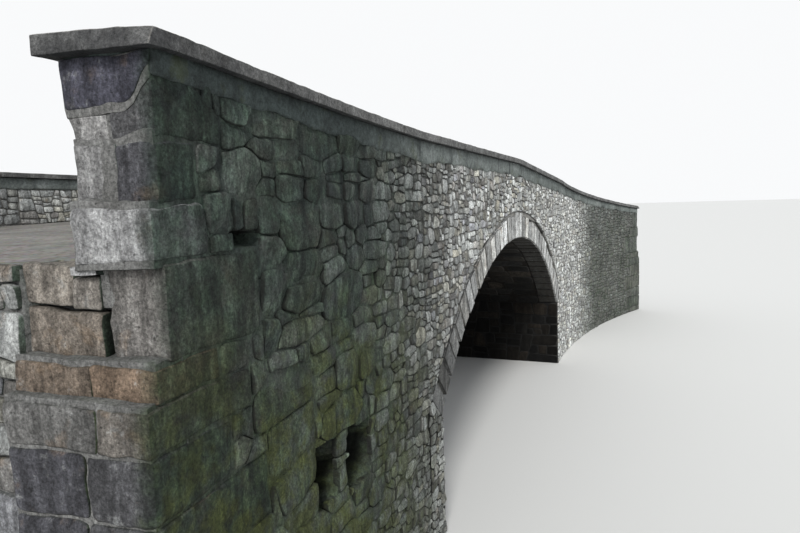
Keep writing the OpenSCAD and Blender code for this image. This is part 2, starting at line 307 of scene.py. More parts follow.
def vault_place(uvw):
    """Underside of the arch; u runs across the bridge and v is the angle from the crown."""
    radius, turn = ARCH_RADIUS - uvw[:, 2], uvw[:, 1]
    return to_row(radius * np.sin(turn), uvw[:, 0], CENTRE_Z + radius * np.cos(turn))


def wall_place(side, line=lambda x: 0.0):
    """Local coordinates (s, offset, height over a long-section line) of one side's walls."""

    def place(points):
        x, y = face_point(points[:, 0], points[:, 1])
        return to_row(x, FACE_SIGN[side] * y, line(x) + points[:, 2])

    return place


def ring_place(side):
    """Local coordinates (angle times the arch's radius, y, radius) of the face rings."""

    def place(points):
        turn, radius = points[:, 0] / ARCH_RADIUS, points[:, 2]
        x, y = radius * np.sin(turn), FACE_SIGN[side] * points[:, 1]
        return to_row(x, y, CENTRE_Z + radius * np.cos(turn))

    return place


# Stones in a wall, and how their outlines are cut and shrunk against each other
SIZE_SPREAD = (0.62, 1.6)
LEAST_SPLIT = 1.3
CROSS_SPLIT = 0.2
SPLIT_AT = (0.36, 0.64)
MOST_TILT = 0.28
NEIGHBOURS = 15
LEAST_SPACING = 0.01
SHARE_LIMITS = (0.15, 0.85)


def clip(cell, point, normal):
    """The part of a convex outline on the side of a line that its normal points to."""
    side = (cell - point) @ normal
    if (side >= 0).all():
        return cell
    kept = []
    for i, here in enumerate(cell):
        after = (i + 1) % len(cell)
        if side[i] >= 0:
            kept.append(here)
        if side[i] * side[after] < 0:
            kept.append(here + side[i] / (side[i] - side[after]) * (cell[after] - here))
    return np.array(kept).reshape(-1, 2)


def cut(cell, point, normal):
    """Both parts of a convex outline that a line cuts."""
    halves = (clip(cell, point, normal), clip(cell, point, -normal))
    return [half for half in halves if len(half) > 2]


def middle_of(cell):
    return (cell.min(0) + cell.max(0)) / 2


def lay_stones(outline, size_at, rng, bed_tilt, side_tilt):
    """Cuts an outline into rubble cells of random size, near the width and height of size_at."""
    todo, done = [np.array(outline, float)], []
    while todo:
        cell = todo.pop()
        point, span = middle_of(cell), np.ptp(cell, axis=0)
        want = np.array(size_at(*point))
        ratio = span / (want * rng.uniform(*SIZE_SPREAD, 2))
        axis = int(ratio[1] > ratio[0])
        if min(ratio) > LEAST_SPLIT and rng.uniform() < CROSS_SPLIT:
            axis = 1 - axis
        if ratio[axis] < LEAST_SPLIT:
            done.append(cell)
            continue
        point[axis] = cell.min(0)[axis] + span[axis] * rng.uniform(*SPLIT_AT)
        limit = MOST_TILT * want[axis] / (span[1 - axis] / 2)
        tilt = float(np.clip(rng.normal(0, (side_tilt, bed_tilt)[axis]), -limit, limit))
        todo += cut(cell, point, np.array([1.0, tilt] if axis == 0 else [tilt, 1.0]))
    return done


def interlock(cells, limits):
    """Cells of the same middles and sizes that meet along zigzag joints, each inside its limit."""
    middles = np.array([middle_of(cell) for cell in cells])
    spans = np.array([np.ptp(cell, axis=0) for cell in cells])
    done = []
    for i, limit in enumerate(limits):
        both = (spans + spans[i]) / 2
        ways = middles - middles[i]
        gaps = ((ways / both) ** 2).sum(1)
        larger = ((spans[i] - spans) / both).mean(1) / 2
        cell = np.array(limit, float)
        for j in np.argsort(gaps)[1:NEIGHBOURS]:
            if len(cell) < 3 or gaps[j] < LEAST_SPACING:
                continue
            share = np.clip(0.5 + larger[j] / (2 * gaps[j]), *SHARE_LIMITS)
            cell = clip(cell, middles[i] + share * ways[j], -ways[j] / both[j] ** 2)
        if len(cell) > 2:
            done.append(cell)
    return done


# Rings of points on a stone from the joint upwards: inset and drop in widths of its rounded edge,
# how much joint shade and how much roughness
COARSE_RINGS = [(0.0, 0.7, 0.7, 0.5), (0.8, 0.0, 0.1, 1.0)]
FINE_RINGS = [(0.0, 0.9, 0.8, 0.35), (0.35, 0.3, 0.35, 0.7), (1.0, 0.0, 0.0, 1.0)]
# For each fineness: shares of the face with more rings, and the spacing of points on the outline
INNER_RINGS = [[], [], [0.5], [0.7, 0.36]]
OUTLINE_STEPS = [9.0, 0.20, 0.08, 0.05]
ROOT_SPREAD = 0.002
LEAN = 0.10
MOST_LEAN = 0.016
SHORTEST_SIDE = 0.012
LEAST_GAPS = 2.5
CORNER_SHARE = (0.06, 0.24)
MOST_CORNER = 0.42
EDGE_SHARE = 0.09
EDGE_LIMITS = (0.006, 0.014)
CROWN_SHARE = (0.0, 0.06)
ROUGH_SIZE = 0.11
FULLY_ROUGH = 0.2


def rounded(cell, gap, corner, step, fine=True):
    """Outline of the stone in a cell: drawn in by the joint, with rounded corners if it is fine."""
    middle, span = middle_of(cell), np.ptp(cell, axis=0)
    if min(span) < LEAST_GAPS * gap:
        return None
    cell = middle + (cell - middle) * (1 - gap / span)
    cell = cell[np.hypot(*(np.roll(cell, -1, axis=0) - cell).T) > SHORTEST_SIDE]
    if len(cell) < 3:
        return None
    points = []
    for i, here in enumerate(cell):
        before, after = cell[i - 1], cell[(i + 1) % len(cell)]
        back, on = before - here, after - here
        back_len, on_len = math.hypot(*back), math.hypot(*on)
        a = here + back * min(corner / back_len, MOST_CORNER)
        b = here + on * min(corner / on_len, MOST_CORNER)
        if not fine:
            points += [a, b] if len(cell) < 6 else [(a + 2 * here + b) / 4]
            continue
        points += [a, (a + 2 * here + b) / 4, b]
        far = after - on * min(corner / on_len, MOST_CORNER)
        parts = int(math.hypot(*(far - b)) / step)
        points += [b + (far - b) * k / (parts + 1) for k in range(1, parts + 1)]
    return np.array(points) if len(points) > 5 else None


class Masonry:
    """Stones on one face, gathered in local coordinates and roughened together."""

    def __init__(self, seed):
        self.rng, self.seed = np.random.default_rng(seed), seed
        self.uvw, self.looks, self.lumps, self.quads, self.tris = [], [], [], [], []
        self.count = 0

    def stone(self, cell, gap, proud, sink, detail, look=None):
        """One stone: sides up from the joint, a rounded edge and a humped, tilted face."""
        rng = self.rng
        size = float(min(np.ptp(cell, axis=0)))
        corner = size * rng.uniform(*CORNER_SHARE)
        outline = rounded(cell, gap, corner, OUTLINE_STEPS[detail], detail > 0)
        if outline is None:
            return
        n = len(outline)
        middle, span = middle_of(outline), np.ptp(outline, axis=0)
        edge = float(np.clip(EDGE_SHARE * size, *EDGE_LIMITS))
        crown = rng.uniform(*CROWN_SHARE) * size
        height = rng.uniform(*proud)
        rows = [(1 + ROOT_SPREAD / span, -sink, 1.0, 0.0)]
        for inset, drop, shade, lump in FINE_RINGS if detail else COARSE_RINGS:
            rows.append((1 - 2 * inset * edge / span, height - drop * edge, shade, lump))
        for f in INNER_RINGS[detail]:
            rows.append(((1 - 2 * edge / span) * f, height + crown * (1 - f * f), 0.0, 1.0))
        scales, outs, shades, lumps = zip(*rows)
        rings = len(rows)
        flat = outline - middle
        uv = np.stack([flat * scale for scale in scales] + [flat * 0])
        lean = np.clip(uv @ rng.normal(0, LEAN, 2), -MOST_LEAN, MOST_LEAN)
        lean[0] = 0
        w = np.array([*outs, height + crown])[:, None] + lean
        points = np.concatenate([uv + middle, w[..., None]], axis=-1)
        points = np.concatenate([points[:-1].reshape(-1, 3), points[-1, :1]])
        looks = np.zeros((len(points), 3))
        looks[:, :2] = look or (rng.uniform(), rng.uniform())
        looks[:-1, 2] = np.repeat(shades, n)
        lump = np.append(np.repeat(lumps, n), 1.0)
        ring = np.arange(n)
        after = (ring + 1) % n
        base = (np.arange(rings - 1) * n)[:, None]
        quads = np.stack([base + ring, base + after, base + n + after, base + n + ring], axis=-1)
        last = (rings - 1) * n
        tris = np.stack([last + ring, last + after, np.full(n, last + n)], axis=-1)
        self.uvw.append(points)
        self.looks.append(looks)
        self.lumps.append(lump * min(1.0, size / FULLY_ROUGH))
        self.quads.append(quads.reshape(-1, 4) + self.count)
        self.tris.append(tris + self.count)
        self.count += len(points)

    def add_to(self, shape, face, relief=0.012, most=0.03, wavy=True):
        """Roughens the stones, bends their joints and adds them to a shape."""
        if not self.count:
            return
        uvw = np.concatenate(self.uvw)
        lump = np.concatenate(self.lumps)
        uvw[:, 2] += lump * relief * rough(uvw * (1, 1, 0), ROUGH_SIZE, self.seed, 3)
        uvw[:, 2] = np.minimum(uvw[:, 2], most)
        if wavy:
            along, _, lift = waver(uvw[:, 0], 0 * lump, uvw[:, 1])
            uvw[:, 0] += along
            uvw[:, 1] += lift
        faces = [np.concatenate(self.quads), np.concatenate(self.tris)]
        shape.add(face.place(uvw), np.concatenate(self.looks), faces, flip=face.flip)


# The sheet of mortar behind the stones: its lumps, and the depths over which painted shade turns it
# dark
BED_RELIEF = 0.008
BED_LUMP = 0.09
DEEP_SHADE = (0.06, 0.16)


def level(height):
    """A line of constant height, or a sheet of constant depth."""
    return lambda *where: height + 0 * where[0]


def add_bedding(shape, face, run, low, high, step, depth, back, seed, kind=1):
    """Mortar between stones: a rough sheet set in from the face, closed behind by tall strips."""
    u0, u1 = sorted(run)
    columns = max(3, int((u1 - u0) / step) + 1)
    u = np.linspace(u0, u1, columns)
    rows = max(2, int(np.max(high(u) - low(u)) / step) + 1)
    v = low(u)[:, None] + (high(u) - low(u))[:, None] * np.linspace(0, 1, rows)
    grid = np.stack([np.broadcast_to(u[:, None], v.shape), v, 0 * v], axis=-1)
    front = grid.reshape(-1, 3)
    deep = depth(front[:, 0], front[:, 1])
    front[:, 2] = -deep + BED_RELIEF * rough(front, BED_LUMP, seed, 2)
    index = np.arange(len(front)).reshape(v.shape)
    quads = np.stack([index[:-1, :-1], index[1:, :-1], index[1:, 1:], index[:-1, 1:]], -1)
    rim = np.concatenate([index[:, 0], index[-1, 1:], index[-2::-1, -1], index[0, -2:0:-1]])
    behind = front[rim]
    behind[:, 2] = -back
    ring = len(front) + np.arange(len(rim))
    walls = np.stack([ring, np.roll(ring, -1), np.roll(rim, -1), rim], axis=-1)
    base = ring[:columns]
    crest = ring[columns + rows - 2 : 2 * columns + rows - 2][::-1]
    strips = np.stack([crest[1:-2], crest[2:-1], base[2:-1], base[1:-2]], axis=-1)
    left = np.concatenate([ring[2 * columns + rows - 3 :], base[:2], crest[1:2]])[::-1]
    right = np.concatenate([ring[columns - 2 : columns + rows - 1], crest[-2:-1]])[::-1]
    looks = np.full((len(front) + len(behind), 3), 0.5)
    # Tone carries painted shade: the mortar turns darker where it lies deep
    looks[: len(front), 0] = 0.5 * (1 - smooth_step(deep, *DEEP_SHADE))
    faces = [quads.reshape(-1, 4), walls, strips, left[None], right[None]]
    shape.add(face.place(np.concatenate([front, behind])), looks, faces, kind, face.flip)


# Blocks: rough boxes with rounded edges, in any local coordinates. A grain is the width of the
# rounded edge, the spacing of the points, the depth of the lumps and their size
Grain = namedtuple("Grain", "edge step relief size", defaults=(0.16,))
EDGE_SPLIT = 0.4
PLAIN_LOOK = (0.5, 0.5)


def grid_line(low, high, edge, step):
    """Places along one side of a block, closer near its rounded edges."""
    inner = max(1, int(round((high - low - 2 * edge) / step)))
    middle = np.linspace(low + edge, high - edge, inner + 1)
    split = EDGE_SPLIT * edge
    return np.concatenate([[low, low + split], middle, [high - split, high]])


def add_block(shape, face, corner, far_corner, grain, look, seed, kind=0, rim=0.35):
    """A rough block between two corners, with its lumps within the grain's relief of the box."""
    edge = grain.edge
    low, high = np.minimum(corner, far_corner), np.maximum(corner, far_corner)
    lines = [grid_line(low[i], high[i], edge, grain.step[i]) for i in range(3)]
    counts = [len(line) for line in lines]
    index = np.arange(np.prod(counts)).reshape(counts)
    quads = []
    for axis in range(3):
        for end in (0, -1):
            side = index.take(end, axis)
            quad = np.stack([side[:-1, :-1], side[1:, :-1], side[1:, 1:], side[:-1, 1:]], -1)
            quad = quad.reshape(-1, 4)
            quads.append(quad if (end == -1) == (axis != 1) else quad[:, ::-1])
    used, quads = np.unique(np.concatenate(quads), return_inverse=True)
    where = np.stack(np.unravel_index(used, counts), axis=-1)
    points = np.stack([lines[i][where[:, i]] for i in range(3)], axis=-1)
    core = np.clip(points, low + edge, high - edge)
    away = points - core
    normal = away / np.maximum(np.linalg.norm(away, axis=1, keepdims=True), 1e-9)
    lump = 0.5 + 0.5 * rough(points, grain.size, seed, 3)
    sharp = (np.abs(away) > 0.5 * edge).sum(1) > 1
    looks = np.zeros((len(points), 3))
    looks[:, :2] = look
    looks[:, 2] = np.where(sharp, rim, 0.0)
    points = core + normal * (edge - grain.relief * lump[:, None])
    shape.add(face.place(points), looks, [quads.reshape(-1, 4)], kind, face.flip)


# Materials
MOSS = (0.060, 0.070, 0.018)
# Algae colours that also stand in as painted shade over the near wing and far end: greener low
# down, bluish like sky-lit shade higher up
ALGAE_AND_SHADE = [(0.36, (0.008, 0.013, 0.010)), (0.5, (0.022, 0.035, 0.024)), (0.66, (0.072, 0.097, 0.064))]
ALGAE_AND_SHADE_TINTS = ((1.00, 1.17, 0.84), (0.88, 1.09, 1.18))
# Dark for stain runs, and for painted shade under the coping
GRIME_AND_SHADE = (0.011, 0.013, 0.015)
LICHEN = (0.42, 0.43, 0.42)
RUST = (0.24, 0.155, 0.085)
# Pale stone over the far half, partly bleaching and partly painted sunlight
BLEACHED_SUNLIT_STONE = (0.60, 0.60, 0.585)
POCK = (0.045, 0.045, 0.046)
JOINT_SHADE = (0.012, 0.012, 0.011)
PALE_JOINT_SHADE = (0.170, 0.168, 0.158)
COPING_CRUST_AND_SHADE = (0.036, 0.037, 0.040)
COPING_RUN = (0.045, 0.043, 0.037)
WORN_CONCRETE = (0.40, 0.385, 0.35)
RUBBLE_HUES = [
    (0.0, (0.27, 0.26, 0.22)),
    (0.25, (0.305, 0.312, 0.298)),
    (0.5, (0.268, 0.276, 0.268)),
    (0.72, (0.345, 0.353, 0.345)),
    (0.88, (0.205, 0.195, 0.18)),
    (1.0, (0.215, 0.22, 0.235)),
]
CORNER_HUES = [
    (0.0, (0.29, 0.20, 0.135)),
    (0.25, (0.28, 0.25, 0.215)),
    (0.5, (0.285, 0.285, 0.285)),
    (0.66, (0.24, 0.235, 0.22)),
    (0.85, (0.175, 0.175, 0.185)),
    (1.0, (0.150, 0.150, 0.192)),
]
RING_HUES = [(0.0, (0.32, 0.315, 0.295)), (0.5, (0.38, 0.385, 0.38)), (1.0, (0.27, 0.27, 0.26))]
# Vault colours, near-black with painted shade under the arch
VAULT_SHADE_HUES = [(0.0, (0.030, 0.024, 0.018)), (0.5, (0.018, 0.016, 0.013)), (1.0, (0.01,) * 3)]
MORTAR_DARKS = [(0.28, (0.030, 0.029, 0.027)), (0.72, (0.120, 0.117, 0.108))]
MORTAR_GREYS = [(0.28, (0.10, 0.10, 0.097)), (0.72, (0.31, 0.31, 0.30))]
CONCRETE_GREYS = [
    (0.28, (0.075, 0.075, 0.073)),
    (0.5, (0.180, 0.180, 0.176)),
    (0.75, (0.35, 0.35, 0.34)),
]
SKIM_PALES = [
    (0.3, (0.120, 0.136, 0.128)),
    (0.55, (0.198, 0.220, 0.209)),
    (0.75, (0.29, 0.311, 0.300)),
]
SKIM_DARKS = [
    (0.3, (0.029, 0.036, 0.035)),
    (0.55, (0.060, 0.076, 0.073)),
    (0.75, (0.104, 0.126, 0.119)),
]
GRAVEL_GREYS = [(0.0, (0.26, 0.25, 0.23)), (0.55, (0.20, 0.19, 0.17)), (0.8, (0.14, 0.13, 0.115))]

# Noises: size, detail and roughness, then how they are stretched
GRIT = (0.024, 6, 0.76)
THIN_RUNS = (0.030, 4, 0.65, (1.0, 1.0, 0.2))
PITS = (0.022, 3, 0.6)
POCKS = (0.050, 5, 0.72, (1.0, 1.0, 0.7))
WASH = (0.085, 3, 0.6, (1.0, 1.0, 0.16))
BLOTCHES = (0.09, 7, 0.7)
STONE_GRAIN = (0.016, 7, 0.78)
RUST_SPOTS = (0.25, 5, 0.6)
RAGGED_EDGE = (0.12, 5, 0.6)
ALGAE_AND_SHADE_PATCHES = (0.7, 6, 0.65)
ALGAE_AND_SHADE_SPREAD = (0.13, 6, 0.7)
MOSS_GROWTH = (0.34, 7, 0.65)
WALL_RUNS = (0.20, 2, 0.5, (1.0, 1.0, 0.12))
STONE_LUMPS = (0.06, 9, 0.68)
STONE_CHIPS = (0.012, 5, 0.7)
MORTAR_GRAIN = (0.014, 7, 0.75)
MORTAR_PATCHES = (0.3, 5, 0.6)
MORTAR_LUMPS = (0.05, 8, 0.7)
CONCRETE_GRIT = (0.010, 6, 0.78)
CONCRETE_BLOTCHES = (0.20, 7, 0.66)
CRUST_PATCHES = (0.30, 7, 0.66)
COPING_RUNS = (0.12, 2, 0.5, (1.0, 1.0, 0.3))
COPING_MOSS = (0.25, 7, 0.65)
CONCRETE_LUMPS = (0.045, 8, 0.72)
SKIM_FILM = (0.45, 6, 0.62)
SKIM_GRAIN = (0.014, 6, 0.75)
SKIM_BLOTCHES = (0.05, 6, 0.75)
SKIM_RUNS = (0.20, 2, 0.5, (1.0, 1.0, 0.25))
SKIM_MOSS = (0.22, 6, 0.65)
SKIM_LUMPS = (0.04, 8, 0.68)
GRAVEL_PATCHES = (0.7, 6, 0.6)

# Stretches of the bridge's length over which a look comes or goes
# Algae and painted shade: the stretches they cover at the near and far ends
NEAR_ALGAE_AND_SHADE = (-7.0, -3.4)
FAR_ALGAE_AND_SHADE = (6.3, 9.0)
END_FACE = (NEAR_END_X + 0.15, NEAR_END_X + 0.6)
INLAND = (NEAR_END_X + 0.4, NEAR_END_X + 0.9)
OPEN_JOINTS = (-6.4, -2.2)
PALE_JOINTS = (-7.5, -3.0)
DRY_STONE = (-5.0, -2.0)
# Bleaching and painted sunlight over the middle and far half
BLEACHING_AND_SUNLIGHT = (-5.2, -2.0)
BLEACHED_SUNLIT_HALF = (0.5, 3.0)
FAR_SHADE = (7.5, 9.5)
RING_SHADES = [(-4.4, -0.8), (0.8, 3.0)]
WHOLE_MORTAR = (-8.0, -5.0)
PALE_MORTAR = (-5.6, -1.8)
CRUSTED_SHADED_COPING = (-9.6, -6.2)
DARK_SKIM = (-7.0, -3.8)


def add_node(tree, kind, inputs=None, **settings):
    """A shader node whose inputs are values or outputs of other nodes."""
    made = tree.nodes.new(kind)
    for name, value in settings.items():
        setattr(made, name, value)
    for name, value in (inputs or {}).items():
        if isinstance(value, bpy.types.NodeSocket):
            tree.links.new(value, made.inputs[name])
        else:
            made.inputs[name].default_value = value
    return made


def new_material(name, colour, roughness):
    """A material and its shader."""
    material = bpy.data.materials.new(name)
    material.use_nodes = True
    shader = material.node_tree.nodes["Principled BSDF"]
    shader.inputs["Base Color"].default_value = (*colour, 1)
    shader.inputs["Roughness"].default_value = roughness
    return material, shader


class Look:
    """A material whose colour and bump are built up from patterns in row coordinates."""

    def __init__(self, name, colour):
        self.material, self.shader = new_material(name, colour, 0.92)
        self.tree = self.material.node_tree
        self.shader.inputs["Specular IOR Level"].default_value = 0.22
        self.place = add_node(self.tree, "ShaderNodeTexCoord").outputs["Object"]
        self.x, self.y, self.z = self.split(self.place)
        normal = add_node(self.tree, "ShaderNodeNewGeometry").outputs["Normal"]
        self.facing_x, _, self.facing_z = self.split(normal)
        look = add_node(self.tree, "ShaderNodeAttribute", attribute_name="look").outputs["Color"]
        parts = add_node(self.tree, "ShaderNodeSeparateColor", {0: look})
        self.tone, self.hue, self.edge = parts.outputs[:3]

    def split(self, vector):
        return add_node(self.tree, "ShaderNodeSeparateXYZ", {0: vector}).outputs

    def noise(self, size, detail, roughness, stretch=None):
        """Noise from 0 to 1 with lumps about size wide; stretch scales the place first."""
        vector = self.place
        if stretch:
            inputs = {0: vector, 1: stretch}
            scaled = add_node(self.tree, "ShaderNodeVectorMath", inputs, operation="MULTIPLY")
            vector = scaled.outputs[0]
        inputs = {"Vector": vector, "Scale": 1 / size, "Detail": detail, "Roughness": roughness}
        return add_node(self.tree, "ShaderNodeTexNoise", inputs).outputs["Fac"]

    def between(self, value, low, high, to_low=0.0, to_high=1.0):
        """Smooth step of a value or of a noise."""
        if isinstance(value, tuple):
            value = self.noise(*value)
        inputs = {"Value": value, "From Min": low, "From Max": high}
        inputs |= {"To Min": to_low, "To Max": to_high}
        made = add_node(self.tree, "ShaderNodeMapRange", inputs, interpolation_type="SMOOTHSTEP")
        return made.outputs["Result"]

    def along(self, stretch, to_low=0.0, to_high=1.0):
        """Smooth step over a stretch of the bridge's length."""
        low, high = stretch
        return self.between(self.x, low + ARCH_X, high + ARCH_X, to_low, to_high)

    def maths(self, operation, a, b=0.0):
        return add_node(self.tree, "ShaderNodeMath", {0: a, 1: b}, operation=operation).outputs[0]

    def times(self, *values):
        total = values[0]
        for value in values[1:]:
            total = self.maths("MULTIPLY", total, value)
        return total

    def mix(self, share, a, b, blend="MIX"):
        made = add_node(self.tree, "ShaderNodeMix", data_type="RGBA", blend_type=blend)
        for socket, value in zip((made.inputs[0], made.inputs[6], made.inputs[7]), (share, a, b)):
            if isinstance(value, bpy.types.NodeSocket):
                self.tree.links.new(value, socket)
            else:
                socket.default_value = (*value, 1) if isinstance(value, tuple) else value
        return made.outputs[2]

    def ramp(self, value, stops):
        made = add_node(self.tree, "ShaderNodeValToRGB", {0: value})
        ramp = made.color_ramp
        while len(ramp.elements) < len(stops):
            ramp.elements.new(0.5)
        for element, (at, colour) in zip(ramp.elements, stops):
            element.position = at
            element.color = (*colour, 1)
        return made.outputs["Color"]

    def scaled(self, colour, value):
        """Colour made lighter or darker by a value."""
        channels = {0: value, 1: value, 2: value}
        grey = add_node(self.tree, "ShaderNodeCombineColor", channels).outputs[0]
        return self.mix(1.0, colour, grey, "MULTIPLY")

    def shade(self, value, *step):
        """Makes the colour so far lighter or darker by a value, or by a smooth step of it."""
        self.colour = self.scaled(self.colour, self.between(value, *step) if step else value)

    def paint(self, colour, share, *step):
        """Covers a share of the colour so far; the share may be a smooth step of a value."""
        self.colour = self.mix(self.between(share, *step) if step else share, self.colour, colour)

    def finish(self, height, distance):
        """Sets the colour, and bumps that stand up to distance from a height of 0 to 1."""
        self.tree.links.new(self.colour, self.shader.inputs["Base Color"])
        inputs = {"Height": height, "Distance": distance, "Strength": 0.9}
        bump = add_node(self.tree, "ShaderNodeBump", inputs).outputs[0]
        self.tree.links.new(bump, self.shader.inputs["Normal"])
        return self.material


def inside_width(look, low, high):
    """1 between the faces of the bridge, and 0 at its outer sides."""
    away = look.maths("ABSOLUTE", look.y)
    return look.between(away, HALF_WIDTH - low, HALF_WIDTH - high, 1.0, 0.0)


def off_end(look):
    """1 over the wall away from the near end, and growing towards the end's outer edge: where
    painted shade and the green film may lie, fading from the shaded long face into the lit end
    face.
    """
    ragged = look.times(look.noise(*RAGGED_EDGE), 0.12)
    across = look.maths("ADD", look.maths("ABSOLUTE", look.y), ragged)
    outside = look.between(across, 4.60, 4.76, 0.0, 0.8)
    return look.maths("MAXIMUM", look.along(END_FACE), outside)


def weather_and_shade(look, film, moss, stains):
    """Algae and painted shade over the near wing and far end, kept off the lit end face and most
    tops, stains that run down from the coping, and moss low down.
    """
    near = look.along(NEAR_ALGAE_AND_SHADE, 1.0, 0.0)
    ends = look.maths("ADD", near, look.along(FAR_ALGAE_AND_SHADE, 0.0, 0.95))
    # Painted shade: the film misses faces turned to the lit end and lies thinner on tops
    turned = look.between(look.facing_x, -0.80, -0.45)
    off_tops = look.between(look.facing_z, 0.35, 0.75, 1.0, 0.2)
    shaded = look.maths("MAXIMUM", look.times(turned, off_tops), off_end(look))
    spread = look.noise(*ALGAE_AND_SHADE_SPREAD)
    film_colour = look.scaled(look.ramp(spread, ALGAE_AND_SHADE), look.between(look.tone, 0.0, 1.0, 0.80, 1.12))
    tint = look.mix(look.between(look.z, 2.4, 4.2), *ALGAE_AND_SHADE_TINTS)
    film_colour = look.mix(1.0, film_colour, tint, "MULTIPLY")
    patches = look.between(ALGAE_AND_SHADE_PATCHES, 0.28, 0.66, 1.0, 0.82)
    look.paint(film_colour, look.times(patches, ends, shaded, film, 0.95))
    growth = look.between(MOSS_GROWTH, 0.42, 0.60)
    low = look.between(look.z, 4.0, 2.2, 0.12, 1.0)
    look.paint(MOSS, look.times(growth, near, low, shaded, moss, 0.8))
    run = look.maths("ADD", look.noise(*WALL_RUNS), look.times(spread, 0.4))
    under = look.between(look.z, 2.6, 4.6)
    near_run = look.between(near, 0.0, 1.0, 0.4, 1.0)
    runs = look.between(run, 0.71, 0.86)
    look.paint(GRIME_AND_SHADE, look.times(runs, under, near_run, shaded, stains, 0.70))


def mottle(look):
    """Grit, thin vertical runs and dark pits over any stone or mortar."""
    look.shade(GRIT, 0.34, 0.66, 0.66, 1.32)
    look.shade(THIN_RUNS, 0.34, 0.66, 0.86, 1.13)
    look.paint(JOINT_SHADE, PITS, 0.60, 0.72, 0.0, 0.65)


def open_joint(look):
    """Colour in the joints: dark by the near end, paler on the dry middle and far half."""
    return look.mix(look.along(OPEN_JOINTS), JOINT_SHADE, PALE_JOINT_SHADE)


def stone_look(name, hues, light, joints, weathering_and_shade=None):
    """Stone, bleached and painted lighter as if sunlit over the middle and far half of the bridge
    if it is outdoors.
    """
    crust = float(weathering_and_shade is not None)
    look = Look(name, hues[len(hues) // 2][1])
    look.colour = look.ramp(look.hue, hues)
    look.shade(look.tone, 0.0, 1.0, 0.42 * light, 1.45 * light)
    blotch = look.noise(*BLOTCHES)
    look.shade(blotch, 0.32, 0.60, 0.64, 1.12)
    if weathering_and_shade:
        look.paint(LICHEN, blotch, 0.57, 0.70, 0.0, 0.45)
        look.paint(RUST, RUST_SPOTS, 0.58, 0.70, 0.0, 0.30)
        # Partly bleaching, partly painted sunlight: lighter towards the arch and far half than the
        # shaded near wing
        look.shade(look.along(BLEACHING_AND_SUNLIGHT, 1.0, 2.15))
        look.shade(look.along(BLEACHED_SUNLIT_HALF, 1.0, 1.35))
        look.paint(BLEACHED_SUNLIT_STONE, look.along(BLEACHED_SUNLIT_HALF, 0.0, 0.35))
        weather_and_shade(look, *weathering_and_shade)
        look.shade(look.along(FAR_SHADE, 1.0, 0.80))
    look.shade(STONE_GRAIN, 0.30, 0.70, 0.56, 1.42)
    mottle(look)
    pocks = look.between(POCKS, 0.53, 0.64)
    look.paint(POCK, look.times(pocks, look.along(DRY_STONE, 0.12, 0.62 * crust)))
    look.shade(WASH, 0.36, 0.64, 0.70, 1.30)
    look.paint(open_joint(look), look.times(look.edge, look.along(PALE_JOINTS, 0.25, 0.6), joints))
    return look


def stone_height(look):
    return look.maths("ADD", look.noise(*STONE_LUMPS), look.times(look.noise(*STONE_CHIPS), 0.28))


def wall_stone(name, hues, light, joints, relief, weathering_and_shade):
    look = stone_look(name, hues, light, joints, weathering_and_shade)
    # Painted shade on faces that turn down
    look.paint(JOINT_SHADE, look.facing_z, -0.45, -0.90, 0.0, 0.75)
    # Painted shade over stone sides that face the near end and the lamp, away from the end face
    # itself
    side_on = look.between(look.facing_x, -0.30, -0.70, 0.0, 0.7)
    look.paint(open_joint(look), look.times(side_on, look.along(INLAND)))
    return look.finish(stone_height(look), relief)


def ring_stone():
    """Arch stone, shaded darker towards the haunches, with painted shade on its underside where it
    is seen from under the arch.
    """
    look = stone_look("arch_stone", RING_HUES, 0.95, 0.85, (0.5, 0.4, 0.35))
    look.shade(look.along(RING_SHADES[0], 0.26, 1.0))
    look.shade(look.along(RING_SHADES[1], 1.0, 0.70))
    look.paint(JOINT_SHADE, look.times(look.edge, 0.6))
    # Painted shade: the ring's underside takes the vault's near-black
    rise = look.maths("SUBTRACT", look.z, CENTRE_Z)
    reach = look.maths("SUBTRACT", look.x, ARCH_X)
    squares = look.maths("ADD", look.times(rise, rise), look.times(reach, reach))
    radius = look.maths("POWER", squares, 0.5)
    inside = look.between(radius, ARCH_RADIUS + 0.015, ARCH_RADIUS + 0.04, 1.0, 0.0)
    look.paint(VAULT_SHADE_HUES[1][1], look.times(inside, inside_width(look, 0.05, 0.01), 0.95))
    return look.finish(stone_height(look), 0.02)


def vault_stone():
    look = stone_look("vault_stone", VAULT_SHADE_HUES, 1.0, 0.6)
    # Darker still towards the springing, within the painted shade under the arch
    look.shade(look.z, SPRING_Z - 0.3, SPRING_Z + 1.0, 0.35, 0.9)
    return look.finish(stone_height(look), 0.02)


